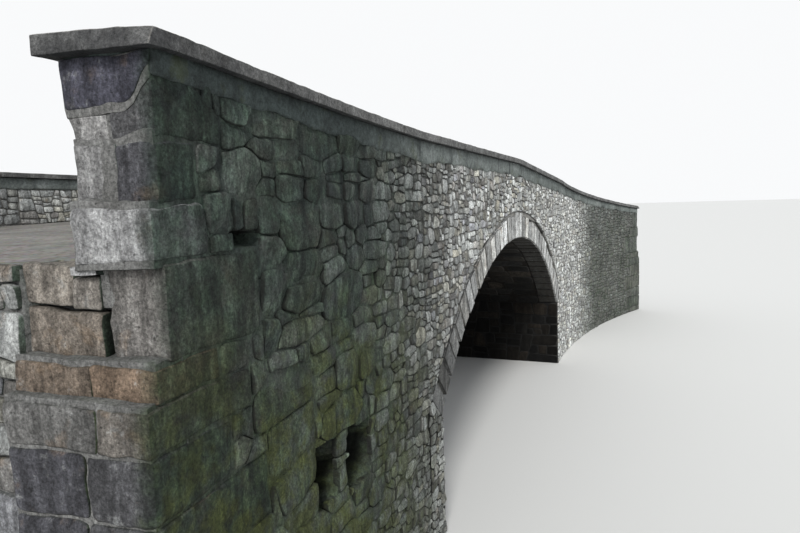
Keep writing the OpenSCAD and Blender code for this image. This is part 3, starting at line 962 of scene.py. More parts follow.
def mortar_look():
    """Lime mortar: crumbled between the small stones, grey and whole near the end, with painted
    shade where it lies deep, faces down or sits under the crown.
    """
    look = Look("joint_mortar", (0.10, 0.095, 0.08))
    grain = look.noise(*MORTAR_GRAIN)
    dark = look.scaled(look.ramp(grain, MORTAR_DARKS), look.along(PALE_MORTAR, 1.0, 4.2))
    patches = look.between(MORTAR_PATCHES, 0.40, 0.60, 0.6, 1.0)
    whole = look.times(look.along(WHOLE_MORTAR, 1.0, 0.12), patches)
    look.colour = look.mix(whole, dark, look.ramp(grain, MORTAR_GREYS))
    weather_and_shade(look, 0.95, 0.8, 1.0)
    mottle(look)
    # Painted shade where the mortar lies deep, carried by its tone
    look.shade(look.tone, 0.0, 0.5, 0.12, 1.0)
    # Painted shade on faces that turn down
    look.paint(JOINT_SHADE, look.facing_z, -0.35, -0.75, 0.0, 0.9)
    # Painted shade under the crown, between the abutments
    from_middle = look.maths("ABSOLUTE", look.maths("SUBTRACT", look.x, ARCH_X))
    beside_arch = look.between(from_middle, HALF_SPAN + 0.1, HALF_SPAN + 0.3, 1.0, 0.0)
    under_crown = look.between(look.z, CROWN_Z + 0.03, CROWN_Z)
    inside = inside_width(look, 0.2, 0.1)
    look.paint(VAULT_SHADE_HUES[2][1], look.times(under_crown, beside_arch, inside, 0.95))
    return look.finish(look.noise(*MORTAR_LUMPS), 0.035)


def concrete_look():
    """Old cast coping: grey and gritty, crusted dark with painted shade on its sides near the end,
    pale along its top edge, with painted shade on its underside.
    """
    look = Look("coping_concrete", (0.20, 0.19, 0.17))
    grit = look.noise(*CONCRETE_GRIT)
    look.colour = look.ramp(grit, CONCRETE_GREYS)
    look.shade(CONCRETE_BLOTCHES, 0.32, 0.66, 0.58, 1.2)
    # Crust and painted shade on the sides, darkest near the end, leaving the top lighter
    on_side = look.between(look.facing_z, 0.65, 0.25)
    crust = look.between(CRUST_PATCHES, 0.34, 0.56, 0.35, 1.0)
    look.paint(COPING_CRUST_AND_SHADE, look.times(crust, look.along(CRUSTED_SHADED_COPING, 1.0, 0.0), on_side, 0.72))
    run = look.between(COPING_RUNS, 0.55, 0.75)
    look.paint(COPING_RUN, look.times(run, on_side, 0.45))
    growth = look.between(COPING_MOSS, 0.56, 0.68)
    look.paint(MOSS, look.times(growth, look.between(look.facing_z, 0.2, 0.8), 0.5))
    look.paint(WORN_CONCRETE, look.times(look.edge, look.between(look.facing_z, 0.15, 0.5), 0.9))
    # Painted shade on the underside
    look.paint(GRIME_AND_SHADE, look.facing_z, -0.3, -0.8, 0.0, 0.7)
    mottle(look)
    height = look.maths("ADD", look.noise(*CONCRETE_LUMPS), look.times(grit, 0.3))
    return look.finish(height, 0.030)


def skim_look():
    """Levelling course: a smooth grey-green skim with soft dark runs down it."""
    look = Look("levelling_render", (0.13, 0.13, 0.105))
    film = look.noise(*SKIM_FILM)
    near = look.along(DARK_SKIM, 1.0, 0.0)
    look.colour = look.mix(near, look.ramp(film, SKIM_PALES), look.ramp(film, SKIM_DARKS))
    look.shade(SKIM_GRAIN, 0.28, 0.72, 0.66, 1.3)
    look.shade(SKIM_BLOTCHES, 0.34, 0.66, 0.68, 1.3)
    look.paint(GRIME_AND_SHADE, SKIM_RUNS, 0.52, 0.75, 0.0, 0.5)
    look.paint(MOSS, SKIM_MOSS, 0.54, 0.70, 0.0, 0.35)
    return look.finish(look.noise(*SKIM_LUMPS), 0.012)


def gravel_look():
    look = Look("road_gravel", (0.24, 0.22, 0.19))
    stones = add_node(look.tree, "ShaderNodeTexVoronoi", {"Vector": look.place, "Scale": 24.0})
    look.colour = look.ramp(stones.outputs["Distance"], GRAVEL_GREYS)
    look.shade(GRAVEL_PATCHES, 0.3, 0.7, 0.65, 1.2)
    look.paint(stones.outputs["Color"], 0.05)
    return look.finish(look.maths("SUBTRACT", 1.0, stones.outputs["Distance"]), 0.006)


RUBBLE = wall_stone("rubble_stone", RUBBLE_HUES, 1.0, 0.8, 0.035, (1.0, 1.0, 1.0))
DRESSED = wall_stone("corner_stone", CORNER_HUES, 0.95, 0.5, 0.05, (1.0, 0.9, 0.6))
ARCH = ring_stone()
VAULT = vault_stone()
MORTAR = mortar_look()
CONCRETE = concrete_look()
SKIM = skim_look()
GRAVEL = gravel_look()


# The four quarters of the bridge, and the courses of corner stones that end their walls
Course = namedtuple("Course", "row over_road bottom top length step thick")


def corner_courses(half):
    """Courses from the road level down, then from there up to the levelling course."""
    courses = []
    top = ROAD_END_Z[half]
    for i, (height, length) in enumerate(zip(LOW_HEIGHTS, LOW_LENGTHS)):
        if top <= 0:
            break
        bottom = top - height
        if bottom < LEAST_COURSE or i == len(LOW_HEIGHTS) - 1:
            bottom = 0.0
        step = LOW_STEPS[min(i, len(LOW_STEPS) - 1)]
        courses.append(Course(i, False, bottom, top, length, step, WALL_T))
        top = bottom
    bottom = ROAD_END_Z[half]
    near, far = (NEAR_PARAPET_H, BAND_NEAR_H), (FAR_PARAPET_H, BAND_FAR_H)
    parapet, band = near if half == "near" else far
    limit = bottom + parapet - band - COPING_T
    for i, (height, length, step) in enumerate(zip(HIGH_HEIGHTS, HIGH_LENGTHS, HIGH_STEPS)):
        if limit - bottom < LEAST_COURSE:
            break
        top = bottom + height
        if limit - top < LEAST_COURSE:
            top = limit
        courses.append(Course(i, True, bottom, top, length, step, PARAPET_T))
        bottom = top
    return courses


class Quarter:
    """One half of one side of the bridge, called q below."""

    def __init__(self, side, half):
        self.side, self.half, self.back = side, half, side == "back"
        self.sign, self.end = HALF_SIGN[half], END_S[half]
        self.photo = (side, half) == ("front", "near")
        self.courses = corner_courses(half)

    def show(self, shape, part, kind, slot, *materials):
        node = f"{self.side}_{self.half}_{part}"
        shape.show(f"{node}_{kind}", slot, [node], materials)


# Rubble of even size: size of the stones, tilt of beds and sides, width of joints, how far the
# faces stand out and the stones reach in, and their tones
Rubble = namedtuple("Rubble", "size tilts joint proud sink tones")
INNER_RUBBLE = Rubble((0.26, 0.15), (0.1, 0.22), (0.010, 0.018), (-0.006, 0.01), 0.04, (0.3, 0.65))
END_RUBBLE = Rubble((0.42, 0.25), (0.08, 0.15), (0.012, 0.022), (-0.012, 0.004), 0.05, (0.25, 0.6))
PASSAGE_RUBBLE = Rubble((0.45, 0.26), (0.05, 0.12), (0.012, 0.022), (0.010, 0.024), 0.005, None)

# Rubble of the outer faces: big by the near ends, and by how much smaller from there on; then the
# same for its joints, for how far its faces stand out, and for the spread of its tones
BIG_STONE, SMALLER_BY = (0.54, 0.26), (0.35, 0.146)
LOWER_BY = 0.35
WALL_TILTS = (0.24, 0.36)
JOINT, WIDER_BY = (0.006, 0.014), 0.006
PROUD, FLATTER_BY = (-0.006, 0.014), 0.003
TONE_SPREAD, WIDER_SPREAD_BY = 0.26, 0.12
STONE_SINK = 0.045
# The narrow strip between the abutment's edge and the wings, over plain stone
FOOT_PROUD, FOOT_SINK = (0.006, 0.020), 0.004
RING_GAP = 0.012
LEAST_PAST_RING = 0.03
CROSSING = 0.10
CROWN_HALF = 2.60
LEAST_STONE = 0.065
LEAST_RISE = 0.05
INNER_START = 0.70
# Mortar sheets: their start beside the corner stones, spacing of points, and depth of their backs
BEDDING_BACK = 0.14
BED_STEP = 0.15
PHOTO_BED_STEP = 0.045
WALL_BED, PARAPET_BED, INNER_BED = 0.45, 0.30, 0.25
BED_OVERLAP = 0.02
INNER_BED_DEPTH = 0.022
HOLLOW_DEPTH = 0.32
# Hollows in the front face: middle and height, half length and half height
NICHES = [(-7.30, 2.06, 0.22, 0.30), (-6.66, 1.98, 0.30, 0.30), (-8.26, 3.99, 0.17, 0.045)]
# How much shorter the courses over and under the road look at the front near corner, where rubble
# covers them
NEAR_HIDDEN = {True: 0.12, False: 0.07}


def stone_size(s, z):
    """Big stones by the near ends, small rubble from the near wing to the far end."""
    small = float(smooth_step(s, NEAR_S + 1.2, NEAR_S + 4.6))
    low = 1.0 + LOWER_BY * float(smooth_step(-z, -3.5, -2.4)) * (1 - small)
    return [(big - less * small) * low for big, less in zip(BIG_STONE, SMALLER_BY)]


def road_over(s):
    return road_z(x_of(s))


def band_over(s):
    return band_z(x_of(s))


def strip(start, stop, low, high):
    """Outline between two lines over a stretch of the face."""
    a, b = sorted((start, stop))
    return np.array([(a, low(a)), (b, low(b)), (b, high(b)), (a, high(a))], float)


def outer_regions(q, spread):
    """Outlines of the rubble on the outer face of a quarter, beside and over the arch.

    Sides that are shared by two outlines are moved out by spread, so that stones may cross them."""
    sign = q.sign
    foot_end = sign * (STRAIGHT + spread)
    edge, seat = sign * HALF_SPAN, sign * SKEW_X
    foot = [(foot_end, 0), (edge, 0), (edge, SPRING_Z), (seat, SKEW_Z)]
    foot += [(seat, SKEW_Z + spread), (foot_end, SKEW_Z + spread)]
    wing = strip(q.end, sign * (STRAIGHT - spread), level(0), band_over)
    return [wing, np.array(foot[::-sign], float), strip(foot_end, 0, level(SKEW_Z), band_over)]


def off_arch(cell, gap):
    """The part of a cell outside the face ring, or nothing."""
    centre = np.array([0.0, CENTRE_Z])
    if (np.abs(cell[:, 0]) > SKEW_X - 0.001).all() or (cell[:, 1] < SKEW_Z + 0.001).all():
        return cell
    away = middle_of(cell) - centre
    away = away / math.hypot(*away)
    limit = BACK_RADIUS + gap
    reach = (cell - centre) @ away
    if (reach >= limit).all():
        return cell
    if (reach <= limit + LEAST_PAST_RING).all():
        return None
    for part in cut(cell, centre + away * limit, away):
        if ((part - centre) @ away).mean() > limit:
            return part
    return None


def hollow(s, z):
    """How far the wall is hollowed out at a place on its face, from 0 to 1."""
    deep = np.zeros(np.broadcast(s, z).shape)
    ragged = 0.34 * rough(np.stack(np.broadcast_arrays(s, z, 0.0), axis=-1), 0.22, 17, 3)
    for middle, height, half_length, half_height in NICHES:
        r = np.hypot((s - middle) / half_length, (z - height) / half_height) + ragged
        deep = np.maximum(deep, 1 - smooth_step(r, 0.75, 1.1))
    return deep


def beside(cell, boxes):
    """Parts of a cell beside some boxes, given by their middles and half sizes."""
    parts = [cell]
    for middle, reach in boxes:
        low, high = np.subtract(middle, reach), np.add(middle, reach)
        kept = []
        for part in parts:
            if (part.min(0) > high).any() or (part.max(0) < low).any():
                kept.append(part)
                continue
            for point, normal in ((high, (1, 0)), (low, (-1, 0)), (high, (0, 1)), (low, (0, -1))):
                normal = np.array(normal, float)
                outside = clip(part, point, normal)
                if len(outside) > 2 and min(np.ptp(outside, axis=0)) > LEAST_STONE:
                    kept.append(outside)
                part = clip(part, point, -normal)
                if len(part) < 3:
                    break
        parts = kept
    return parts


def shown_length(q, course):
    hidden = NEAR_HIDDEN[course.over_road] if q.photo and course.row == 0 else 0.0
    return course.length - hidden


def kept_clear(q):
    """Boxes on the outer face that the rubble leaves to the corner stones and to hollows."""
    boxes = []
    for course in q.courses:
        bottom, top = course.bottom, course.top
        boxes.append(((q.end, (bottom + top) / 2), (shown_length(q, course), (top - bottom) / 2)))
    if q.side == "front":
        boxes += [((s, z), (0.8 * half_s, 0.8 * half_z)) for s, z, half_s, half_z in NICHES]
    return boxes


def part_of(s, z):
    if z > float(ledge_z(s)) or abs(s) < CROWN_HALF:
        return "parapet"
    return "wing_wall" if abs(s) > STRAIGHT else "spandrel"


def fineness(q, s, least):
    """How finely a stone is made: finest by the photographed corner."""
    if q.back or s > 2.0:
        return 0
    if q.half == "far":
        return int(least > 0.08)
    if s < NEAR_S + 2.6:
        return 3 if least > 0.14 else 2
    return 1


def bedding_depth(side):
    def depth(s, z):
        near = 1 - smooth_step(s, NEAR_S + 2.2, NEAR_S + 4.8)
        flat = np.stack([s, z, 0 * s], axis=-1)
        filled = near * (0.008 + 0.010 * noise(flat, 0.30, 31)) + 0.004 * noise(flat, 0.6, 33)
        deep = 0.018 - filled
        if side == "front":
            deep = deep + HOLLOW_DEPTH * hollow(s, z) * (1 + 0.3 * noise(flat, 0.12, 37))
        return deep

    return depth


def build_walls(q, seed):
    sign, face = q.sign, wall_face(q.side)
    rng = np.random.default_rng(seed)
    parts = ("wing_wall", "spandrel", "parapet")
    masonry = {part: Masonry(seed + i) for i, part in enumerate(parts)}
    cells, limits = [], []
    for region, limit in zip(outer_regions(q, 0), outer_regions(q, CROSSING)):
        laid = lay_stones(region, stone_size, rng, *WALL_TILTS)
        cells += laid
        limits += [limit] * len(laid)
    whole = [off_arch(cell, RING_GAP) for cell in interlock(cells, limits)]
    boxes = kept_clear(q)
    for cell in [part for cell in whole if cell is not None for part in beside(cell, boxes)]:
        s, z = middle_of(cell)
        small = float(smooth_step(s, NEAR_S + 1.5, NEAR_S + 4.5))
        gap = rng.uniform(JOINT[0], JOINT[1] + WIDER_BY * small)
        look = (0.5 + (TONE_SPREAD + WIDER_SPREAD_BY * small) * rng.uniform(-1, 1), rng.uniform())
        proud, sink = (PROUD[0] - FLATTER_BY * small, PROUD[1] - FLATTER_BY * small), STONE_SINK
        if abs(s) < STRAIGHT and z < SKEW_Z:
            proud, sink = FOOT_PROUD, FOOT_SINK
        detail = fineness(q, s, min(np.ptp(cell, axis=0)))
        masonry[part_of(s, z)].stone(cell, gap, proud, sink, detail, look)
    shapes = {part: Shape() for part in masonry}
    for part, stones in masonry.items():
        stones.add_to(shapes[part], face)
    last = q.end - sign * BEDDING_BACK
    beds = [
        ("wing_wall", (sign * STRAIGHT, last), level(0), ledge_z, WALL_BED),
        ("spandrel", (sign * CROWN_HALF, sign * STRAIGHT), above_arch, ledge_z, WALL_BED),
        ("parapet", (0, last), over_ledge, into_band, PARAPET_BED),
        ("parapet", (0, sign * CROWN_HALF), above_arch, past_ledge, PARAPET_BED),
    ]
    step = PHOTO_BED_STEP if q.photo else BED_STEP
    for i, (part, run, low, high, back) in enumerate(beds):
        add_bedding(shapes[part], face, run, low, high, step, bedding_depth(q.side), back, seed + i)
    add_inner_parapet(shapes["parapet"], q, seed + 10)
    for part, shape in shapes.items():
        q.show(shape, part, "stones", "rubble_stone", RUBBLE, MORTAR)


def over_ledge(s):
    return np.maximum(ledge_z(s), above_arch(s))


def past_ledge(s):
    return ledge_z(s) + BED_OVERLAP


def into_band(s):
    return band_over(s) + BED_OVERLAP


def under_road(s):
    return road_over(s) - 0.1


def lay_even(masonry, outline, rubble, rng, detail=lambda cell: 0):
    """Fills an outline with rubble of even size."""
    for cell in lay_stones(outline, lambda u, v: rubble.size, rng, *rubble.tilts):
        look = (rng.uniform(*rubble.tones), rng.uniform()) if rubble.tones else None
        joint = rng.uniform(*rubble.joint)
        masonry.stone(cell, joint, rubble.proud, rubble.sink, detail(cell), look)


def add_inner_parapet(shape, q, seed):
    face = wall_face(q.side, inner=True)
    masonry = Masonry(seed)
    rng = np.random.default_rng(seed)
    reach = q.end - q.sign * INNER_START
    regions = []
    for course in [course for course in q.courses if course.over_road]:
        region = strip(q.end - q.sign * course.length, reach, road_over, level(course.top))
        region[:2, 1] = np.maximum(region[:2, 1], course.bottom)
        if (course.top - region[:2, 1]).min() > LEAST_RISE:
            regions.append(region)
    for start in (reach, 0):
        regions.append(strip(start, q.sign * STRAIGHT, road_over, band_over))
    for region in regions:
        lay_even(masonry, region, INNER_RUBBLE, rng)
    masonry.add_to(shape, face)
    run, depth = (0, q.end - q.sign * BEDDING_BACK), level(INNER_BED_DEPTH)
    add_bedding(shape, face, run, under_road, into_band, BED_STEP, depth, INNER_BED, seed)


# Stones of each course on the front near corner, from the road level down and up: where they
# start and end across the wall's end, and between which shares of the course's height, then
# their tone and hue, and how far they stand out
NEAR_LOW = [
    [(0, 0.37, 0, 1, 0.38, 0.38, 0), (0.415, 0.95, 0, 0.53, 0.46, 0.22, 0),
     (0.42, 0.60, 0.53, 0.88, 0.50, 0.30, 0), (0.59, 0.95, 0.53, 1, 0.62, 0.26, 0),
     (0.39, 0.56, 0.89, 1, 1.0, 0.5, 0.045)],
    [(0, 0.42, 0, 1, 0.42, 0.06, 0), (0.42, 0.95, 0, 1, 0.38, 0.14, 0)],
    [(0, 0.34, 0, 1, 0.26, 0.30, 0), (0.34, 0.95, 0, 1, 0.34, 0.6, 0)],
    [(0, 0.42, 0, 1, 0.22, 0.85, 0), (0.42, 0.95, 0, 1, 0.18, 0.9, 0)],
]
NEAR_HIGH = [
    [(0, 0.53, 0, 1, 0.90, 0.50, 0)],
    [(0, 0.262, 0, 1, 0.20, 0.88, 0), (0.31, 0.53, 0, 1, 0.66, 0.48, 0)],
    [(0, 0.262, 0, 1, 0.24, 0.82, 0), (0.27, 0.53, 0, 1, 0.66, 0.46, 0)],
    [(0, 0.53, 0, 1, 0.24, 1.0, 0)],
]
# Mortar on the front near corner: across the wall's end, over the road level, past the wall's end
NEAR_PATCHES = [
    ((0.0, 0.52), (0.24, 0.345), (-0.08, 0.012)),
    ((0.31, 0.43), (-0.24, 0.01), (-0.13, -0.030)),
    ((0.22, 0.35), (0.29, 0.64), (-0.12, -0.014)),
]
PATCH_GRAIN = Grain(0.024, (0.018,) * 3, 0.012, 0.10)
ROAD_EDGE_GRAIN = Grain(0.008, (0.1,) * 3, 0.004)
ROAD_EDGE_START = 0.30
# Corner stones: widths of joints and of rounded edges, the share of a stone's height that its edge
# may take, spacing of points, how far they stand out, and how far the inner ones reach
CORNER_JOINT = (0.004, 0.008)
CORNER_EDGE = (0.030, 0.050)
PLAIN_CORNER_EDGE = 0.03
MOST_EDGE = 0.22
CORNER_STEPS = {True: 0.026, False: 0.12}
CORNER_RELIEF, CORNER_LUMP = 0.026, 0.20
CORNER_OUT = 0.017
INNER_REACH, LONGEST_INNER = 0.8, 0.6
# What the joints of the corner courses gain back from the roughness of the stones
JOINT_GAIN = 0.012
# Their mortar cores: how deep they lie under and over the road, how far they reach into the wall
# and how coarse they are
LOW_CORE, FIRST_CORE, HIGH_CORE = (0.026, 0.010), (0.10, 0.010), (0.016, 0.002)
CORE_REACH = 0.40
CORE_STEPS = {True: 0.05, False: 0.2}
TOP_BED = [0.63, 0.79, 1.09]
TOP_BED_LIFT = 0.19
TOP_FLARE = [0.0, 0.015, 0.045]


def wavy_wall(q, tip):
    """Wall coordinates with bent joints, straight again towards the faces that stand free."""
    straight = wall_place(q.side)

    def place(points):
        s, offset, z = points.T
        along, inward, lift = waver(s, np.maximum(offset, 0), z)
        back = q.sign * (tip - s)
        points = points.copy()
        points[:, 0] += along * smooth_step(back, 0.02, 0.25)
        points[:, 1] += inward * smooth_step(offset, 0.0, 0.12)
        points[:, 2] += lift
        if q.photo:
            over = z - ROAD_END_Z["near"]
            cut_off = (1 - smooth_step(offset, 0.0, 0.16)) * (1 - smooth_step(back, 0.2, 0.7))
            points[:, 2] += TOP_BED_LIFT * np.interp(over, TOP_BED, [0, 1, 0]) * cut_off
            points[:, 1] += np.interp(over, TOP_BED, TOP_FLARE) * smooth_step(offset, 0.1, 0.5)
        return straight(points)

    return Face(place, q.back)


def corner_stones(q, course, rng):
    """Stones of one corner course, as in the lists for the front near corner."""
    row, thick = course.row, course.thick
    if q.photo:
        rows = NEAR_HIGH if course.over_road else NEAR_LOW
        return rows[min(row, len(rows) - 1)]
    split = thick * rng.uniform(0.36, 0.56)
    edges = [0, thick] if course.over_road and row % 2 == 0 else [0, split, thick]
    looks = [(rng.uniform(0.25, 0.65), rng.uniform(0.3, 0.75)) for _ in edges[1:]]
    return [(a, b, 0, 1, *look, 0) for a, b, look in zip(edges, edges[1:], looks)]


def add_course(shape, q, course, rng, seed):
    """The stones of a corner course, and a core of mortar that shows in the joints between them."""
    sign, end = q.sign, q.end
    row, over_road, bottom, top, length, past, thick = course
    tip = end + sign * past
    face = wavy_wall(q, tip)
    last, first_low = course is q.courses[-1], row == 0 and not over_road
    if last:
        top = float(coping_z(x_of(end)) - COPING_T)
    for k, stone in enumerate(corner_stones(q, course, rng)):
        front_edge, back_edge, low_share, high_share, tone, hue, out = stone
        joint = rng.uniform(*CORNER_JOINT)
        outer = front_edge == 0
        reach = end - sign * min(length, LONGEST_INNER) * INNER_REACH
        if outer:
            reach = end - sign * shown_length(q, course) + sign * 0.005
        z0, z1 = bottom + low_share * (top - bottom), bottom + high_share * (top - bottom)
        under = JOINT_GAIN if z0 > 0 else 0.0
        over = 0.0 if last and high_share == 1 else JOINT_GAIN
        front = -CORNER_OUT if outer else front_edge - JOINT_GAIN
        low = [tip + sign * out, front, z0 + joint * (z0 > 0) - under]
        high = [reach, back_edge + JOINT_GAIN * (back_edge < thick), z1 - joint + over]
        edge = rng.uniform(*CORNER_EDGE) if q.photo else PLAIN_CORNER_EDGE
        edge = min(edge, MOST_EDGE * (z1 - z0))
        grain = Grain(edge, (CORNER_STEPS[q.photo],) * 3, CORNER_RELIEF, CORNER_LUMP)
        stone_seed = seed + 17 * row + k + 100 * (not over_road)
        add_block(shape, face, low, high, grain, (tone, hue), stone_seed)
    deep, inset = HIGH_CORE if over_road else FIRST_CORE if q.photo and row == 0 else LOW_CORE
    low = [tip - sign * deep, inset, bottom - (0.03 if bottom > 0 else 0)]
    high = [tip - sign * CORE_REACH, thick - 0.008, top - (0.02 if last or first_low else -0.03)]
    grain = Grain(0.012, (CORE_STEPS[q.photo],) * 3, 0.010, 0.14)
    add_block(shape, face, low, high, grain, PLAIN_LOOK, seed + row, 1)


def build_quoins(q, seed):
    """Toothed stack of rock-faced corner stones in mortar, with footing courses that step out."""
    sign, end, road = q.sign, q.end, ROAD_END_Z[q.half]
    shape = Shape()
    rng = np.random.default_rng(seed)
    for course in q.courses:
        add_course(shape, q, course, rng, seed)
    for i, (across, over, past) in enumerate(NEAR_PATCHES if q.photo else []):
        low, high = [(end + sign * past[k], across[k], road + over[k]) for k in (0, 1)]
        add_block(shape, wavy_wall(q, end), low, high, PATCH_GRAIN, (0.6, 0.5), seed + 200 + i, 1)
    straight = wall_place(q.side)

    def on_road(points):
        points = points.copy()
        points[:, 2] += road_over(points[:, 0]) - road
        return straight(points)

    low = [end - sign * ROAD_EDGE_START, PARAPET_T - 0.03, road - 0.10]
    high = [end - sign * LOW_LENGTHS[0], WALL_T, road]
    add_block(shape, Face(on_road, q.back), low, high, ROAD_EDGE_GRAIN, PLAIN_LOOK, seed, 2)
    q.show(shape, "quoins", "blocks", "dressed_stone", DRESSED, MORTAR, GRAVEL)


# Arch stones: joint, how uneven they are in length, place and front, and how far they stay inside
RING_JOINT = 0.026
RING_LONGER = (-0.12, 0.025)
RING_SHIFT = (-0.012, 0.012)
RING_PROUD = (-0.006, 0.008)
RING_INSET = 0.004
RING_GRAINS = {
    "front": Grain(0.024, (0.05, 0.15, 0.06), 0.016, 0.12),
    "back": Grain(0.024, (0.09, 0.3, 0.12), 0.016, 0.12),
}
RING_CORE_GRAIN = Grain(0.004, (0.15, 0.4, 0.4), 0.0)


def build_ring(side, seed):
    """Face ring: thin deep arch stones of uneven length with a slim keystone."""
    rng = np.random.default_rng(seed)
    face = Face(ring_place(side), side == "back")
    joint, width = RING_JOINT, STONE_TURN * ARCH_RADIUS
    half = STONES_PER_HALF
    parts = {"near_ring": range(-half, 0), "keystone": [0], "far_ring": range(1, half + 1)}
    for part, turns in parts.items():
        shape = Shape()
        for k in turns:
            longer = rng.uniform(*RING_LONGER) if abs(k) < half - 1 else 0.0
            shift = rng.uniform(*RING_SHIFT)
            out = rng.uniform(*RING_PROUD)
            a, b = (k - 0.5) * width + joint / 2, (k + 0.5) * width - joint / 2
            low = [a + shift, -HALF_WIDTH - out, ARCH_RADIUS - RING_INSET]
            high = [b + shift, -HALF_WIDTH + RING_BED - RING_INSET, BACK_RADIUS + longer]
            look = (rng.uniform(0.2, 1.0), rng.uniform())
            add_block(shape, face, low, high, RING_GRAINS[side], look, seed + k, rim=1.0)
        low = [(turns[0] - 0.5) * width, -HALF_WIDTH + 0.05, ARCH_RADIUS + 0.03]
        high = [(turns[-1] + 0.5) * width, -HALF_WIDTH + RING_BED, BACK_RADIUS - 0.01]
        add_block(shape, face, low, high, RING_CORE_GRAIN, PLAIN_LOOK, seed, 1)
        shape.show(f"{side}_{part}_stones", "arch_stone", [f"{side}_{part}"], [ARCH, MORTAR])


# Coping: wear of the outer top corner at the end, and how the slab there spreads and droops
WEAR, WEAR_BACK, WEAR_IN = 0.07, 0.12, 0.14
SPREAD, DROOP = 0.035, 0.024
SKEW_BACK = 0.8
SLAB_UNEVEN, SLAB_LOW = (0, 0.010), (0, 0.006)


def worn_coping(q):
    """Coping coordinates, with the end cut askew, its outer top corner worn and its bed swollen."""
    straight = wall_place(q.side, coping_z)
    tip = q.end + q.sign * COPING_OVER
    width = PARAPET_T + 2 * COPING_OVER

    def place(points):
        s, offset, rise = points.T
        back = q.sign * (tip - s)
        outer = 1 - (offset + COPING_OVER) / width
        over = 1 + rise / COPING_T
        skew = COPING_SKEW * outer * np.clip(1 - back / SKEW_BACK, 0, 1)
        wear = WEAR * np.exp(-back / WEAR_BACK) * np.exp(-(offset + COPING_OVER) / WEAR_IN) * over
        points = points.copy()
        points[:, 0] -= q.sign * (skew * (0.4 + 0.6 * over) + wear)
        points[:, 1] += 0.4 * wear
        if q.photo:
            points[:, 1] += SPREAD * smooth_step(offset, 0.1, 0.6) * np.exp(-back / 0.5)
            points[:, 2] -= DROOP * np.exp(-back / 0.35) * (1 - smooth_step(over, 0.0, 0.7))
        return straight(points)

    return Face(place, q.back)


def build_coping(q, seed):
    """Worn cast slabs with open joints, each a little out of line with the next."""
    rng = np.random.default_rng(seed)
    shape = Shape()
    face = worn_coping(q)
    count = SLABS[q.half]
    length = abs(q.end)
    for i in range(count):
        last = i == count - 1
        a = q.sign * (i * length / count + COPING_JOINT / 2)
        b = q.sign * ((i + 1) * length / count + (COPING_OVER if last else -COPING_JOINT / 2))
        low = [a, -COPING_OVER + rng.uniform(*SLAB_UNEVEN), -COPING_T]
        high = [b, PARAPET_T + COPING_OVER, -rng.uniform(*SLAB_LOW)]
        fine = 0.14 if q.back else 0.03 if q.photo and last else 0.06
        grain = Grain(0.014, (fine, fine * 1.2, 0.025), 0.013, 0.10)
        add_block(shape, face, low, high, grain, (rng.uniform(0.3, 0.7), rng.uniform()), seed + i)
    q.show(shape, "coping", "slabs", "coping_concrete", CONCRETE)


# Outline of the levelling course, from its outer top edge round: offset into the wall, share of
# its height over the lower edge, for the outer and then the inner face
BAND_OUTER = [(-0.016, 1), (-0.018, 0.5), (-0.017, 0.12), (-0.010, 0.0), (0.03, 0.02)]
BAND_INNER = [(-0.03, 0.02), (0.008, 0.0), (0.014, 0.12), (0.012, 1)]
BAND_STEP = 0.03


def build_band(q, seed):
    """Levelling course: a skim over the top of the wall with a ragged lower edge."""
    shape = Shape()
    tip = q.end + q.sign * (HIGH_STEPS[-1] - 0.03)
    s = np.linspace(0, tip, int(abs(q.end) / BAND_STEP))[:: q.sign]
    x = x_of(s)
    top = coping_z(x) - COPING_T
    flat = np.stack([s, 0 * s, 0 * s], axis=-1)
    outer = band_z(x) - 0.012 + 0.042 * rough(flat, 0.30, seed, 5)
    inner = band_z(x) + 0.020 * rough(flat, 0.22, seed + 9, 4)
    rows = [(offset, outer, share) for offset, share in BAND_OUTER]
    rows += [(PARAPET_T + offset, inner, share) for offset, share in BAND_INNER]
    points = []
    for offset, low, share in rows:
        z = low + (top - low) * share
        wave = 0.003 * rough(np.stack([s, z, 0 * s], -1), 0.3, seed + 3, 2)
        points.append(wall_place(q.side)(np.stack([s, offset + wave, z], -1)))
    count, columns = len(rows), len(s)
    index = np.arange(count * columns).reshape(count, columns)
    below = np.roll(index, -1, axis=0)
    quads = np.stack([below[:, :-1], below[:, 1:], index[:, 1:], index[:, :-1]], -1).reshape(-1, 4)
    faces = [quads, index[:, 0][None, :], index[::-1, -1][None, :]]
    shape.add(np.concatenate(points), (*PLAIN_LOOK, 0.0), faces, 0, q.back)
    q.show(shape, "band", "skim", "levelling_render", SKIM)


# End walls: the part that the photo shows, how flat they are, and the gravel along their tops
SEEN_TO = -2.5
END_MOST = 0.018
END_BED_DEPTH, END_BED, END_BED_STEP = 0.035, 0.5, 0.2
CAP_GRAIN = Grain(0.008, (0.3, 0.1, 0.2), 0.006)


def build_end_wall(half, seed):
    shape = Shape()
    face = end_face(half)
    rng = np.random.default_rng(seed)
    masonry = Masonry(seed)
    width = float(-face_point(END_S[half], WALL_T)[1])
    top = ROAD_END_Z[half]
    seen_to = SEEN_TO if half == "near" else -width
    outline = strip(-width, width, level(0), level(top))
    lay_even(masonry, outline, END_RUBBLE, rng, lambda cell: int(cell[:, 0].max() < seen_to))
    masonry.add_to(shape, face, most=END_MOST)
    run, bed_top, depth = (-width, width), level(top - 0.03), level(END_BED_DEPTH)
    add_bedding(shape, face, run, level(0), bed_top, END_BED_STEP, depth, END_BED, seed)
    low, high = [-width + 0.01, top - 0.06, -RETURN_T + 0.002], [width - 0.01, top, -0.045]
    add_block(shape, face, low, high, CAP_GRAIN, PLAIN_LOOK, seed, 2)
    node = f"{half}_return_wall"
    shape.show(node + "_stones", "rubble_stone", [node], [RUBBLE, MORTAR, GRAVEL])


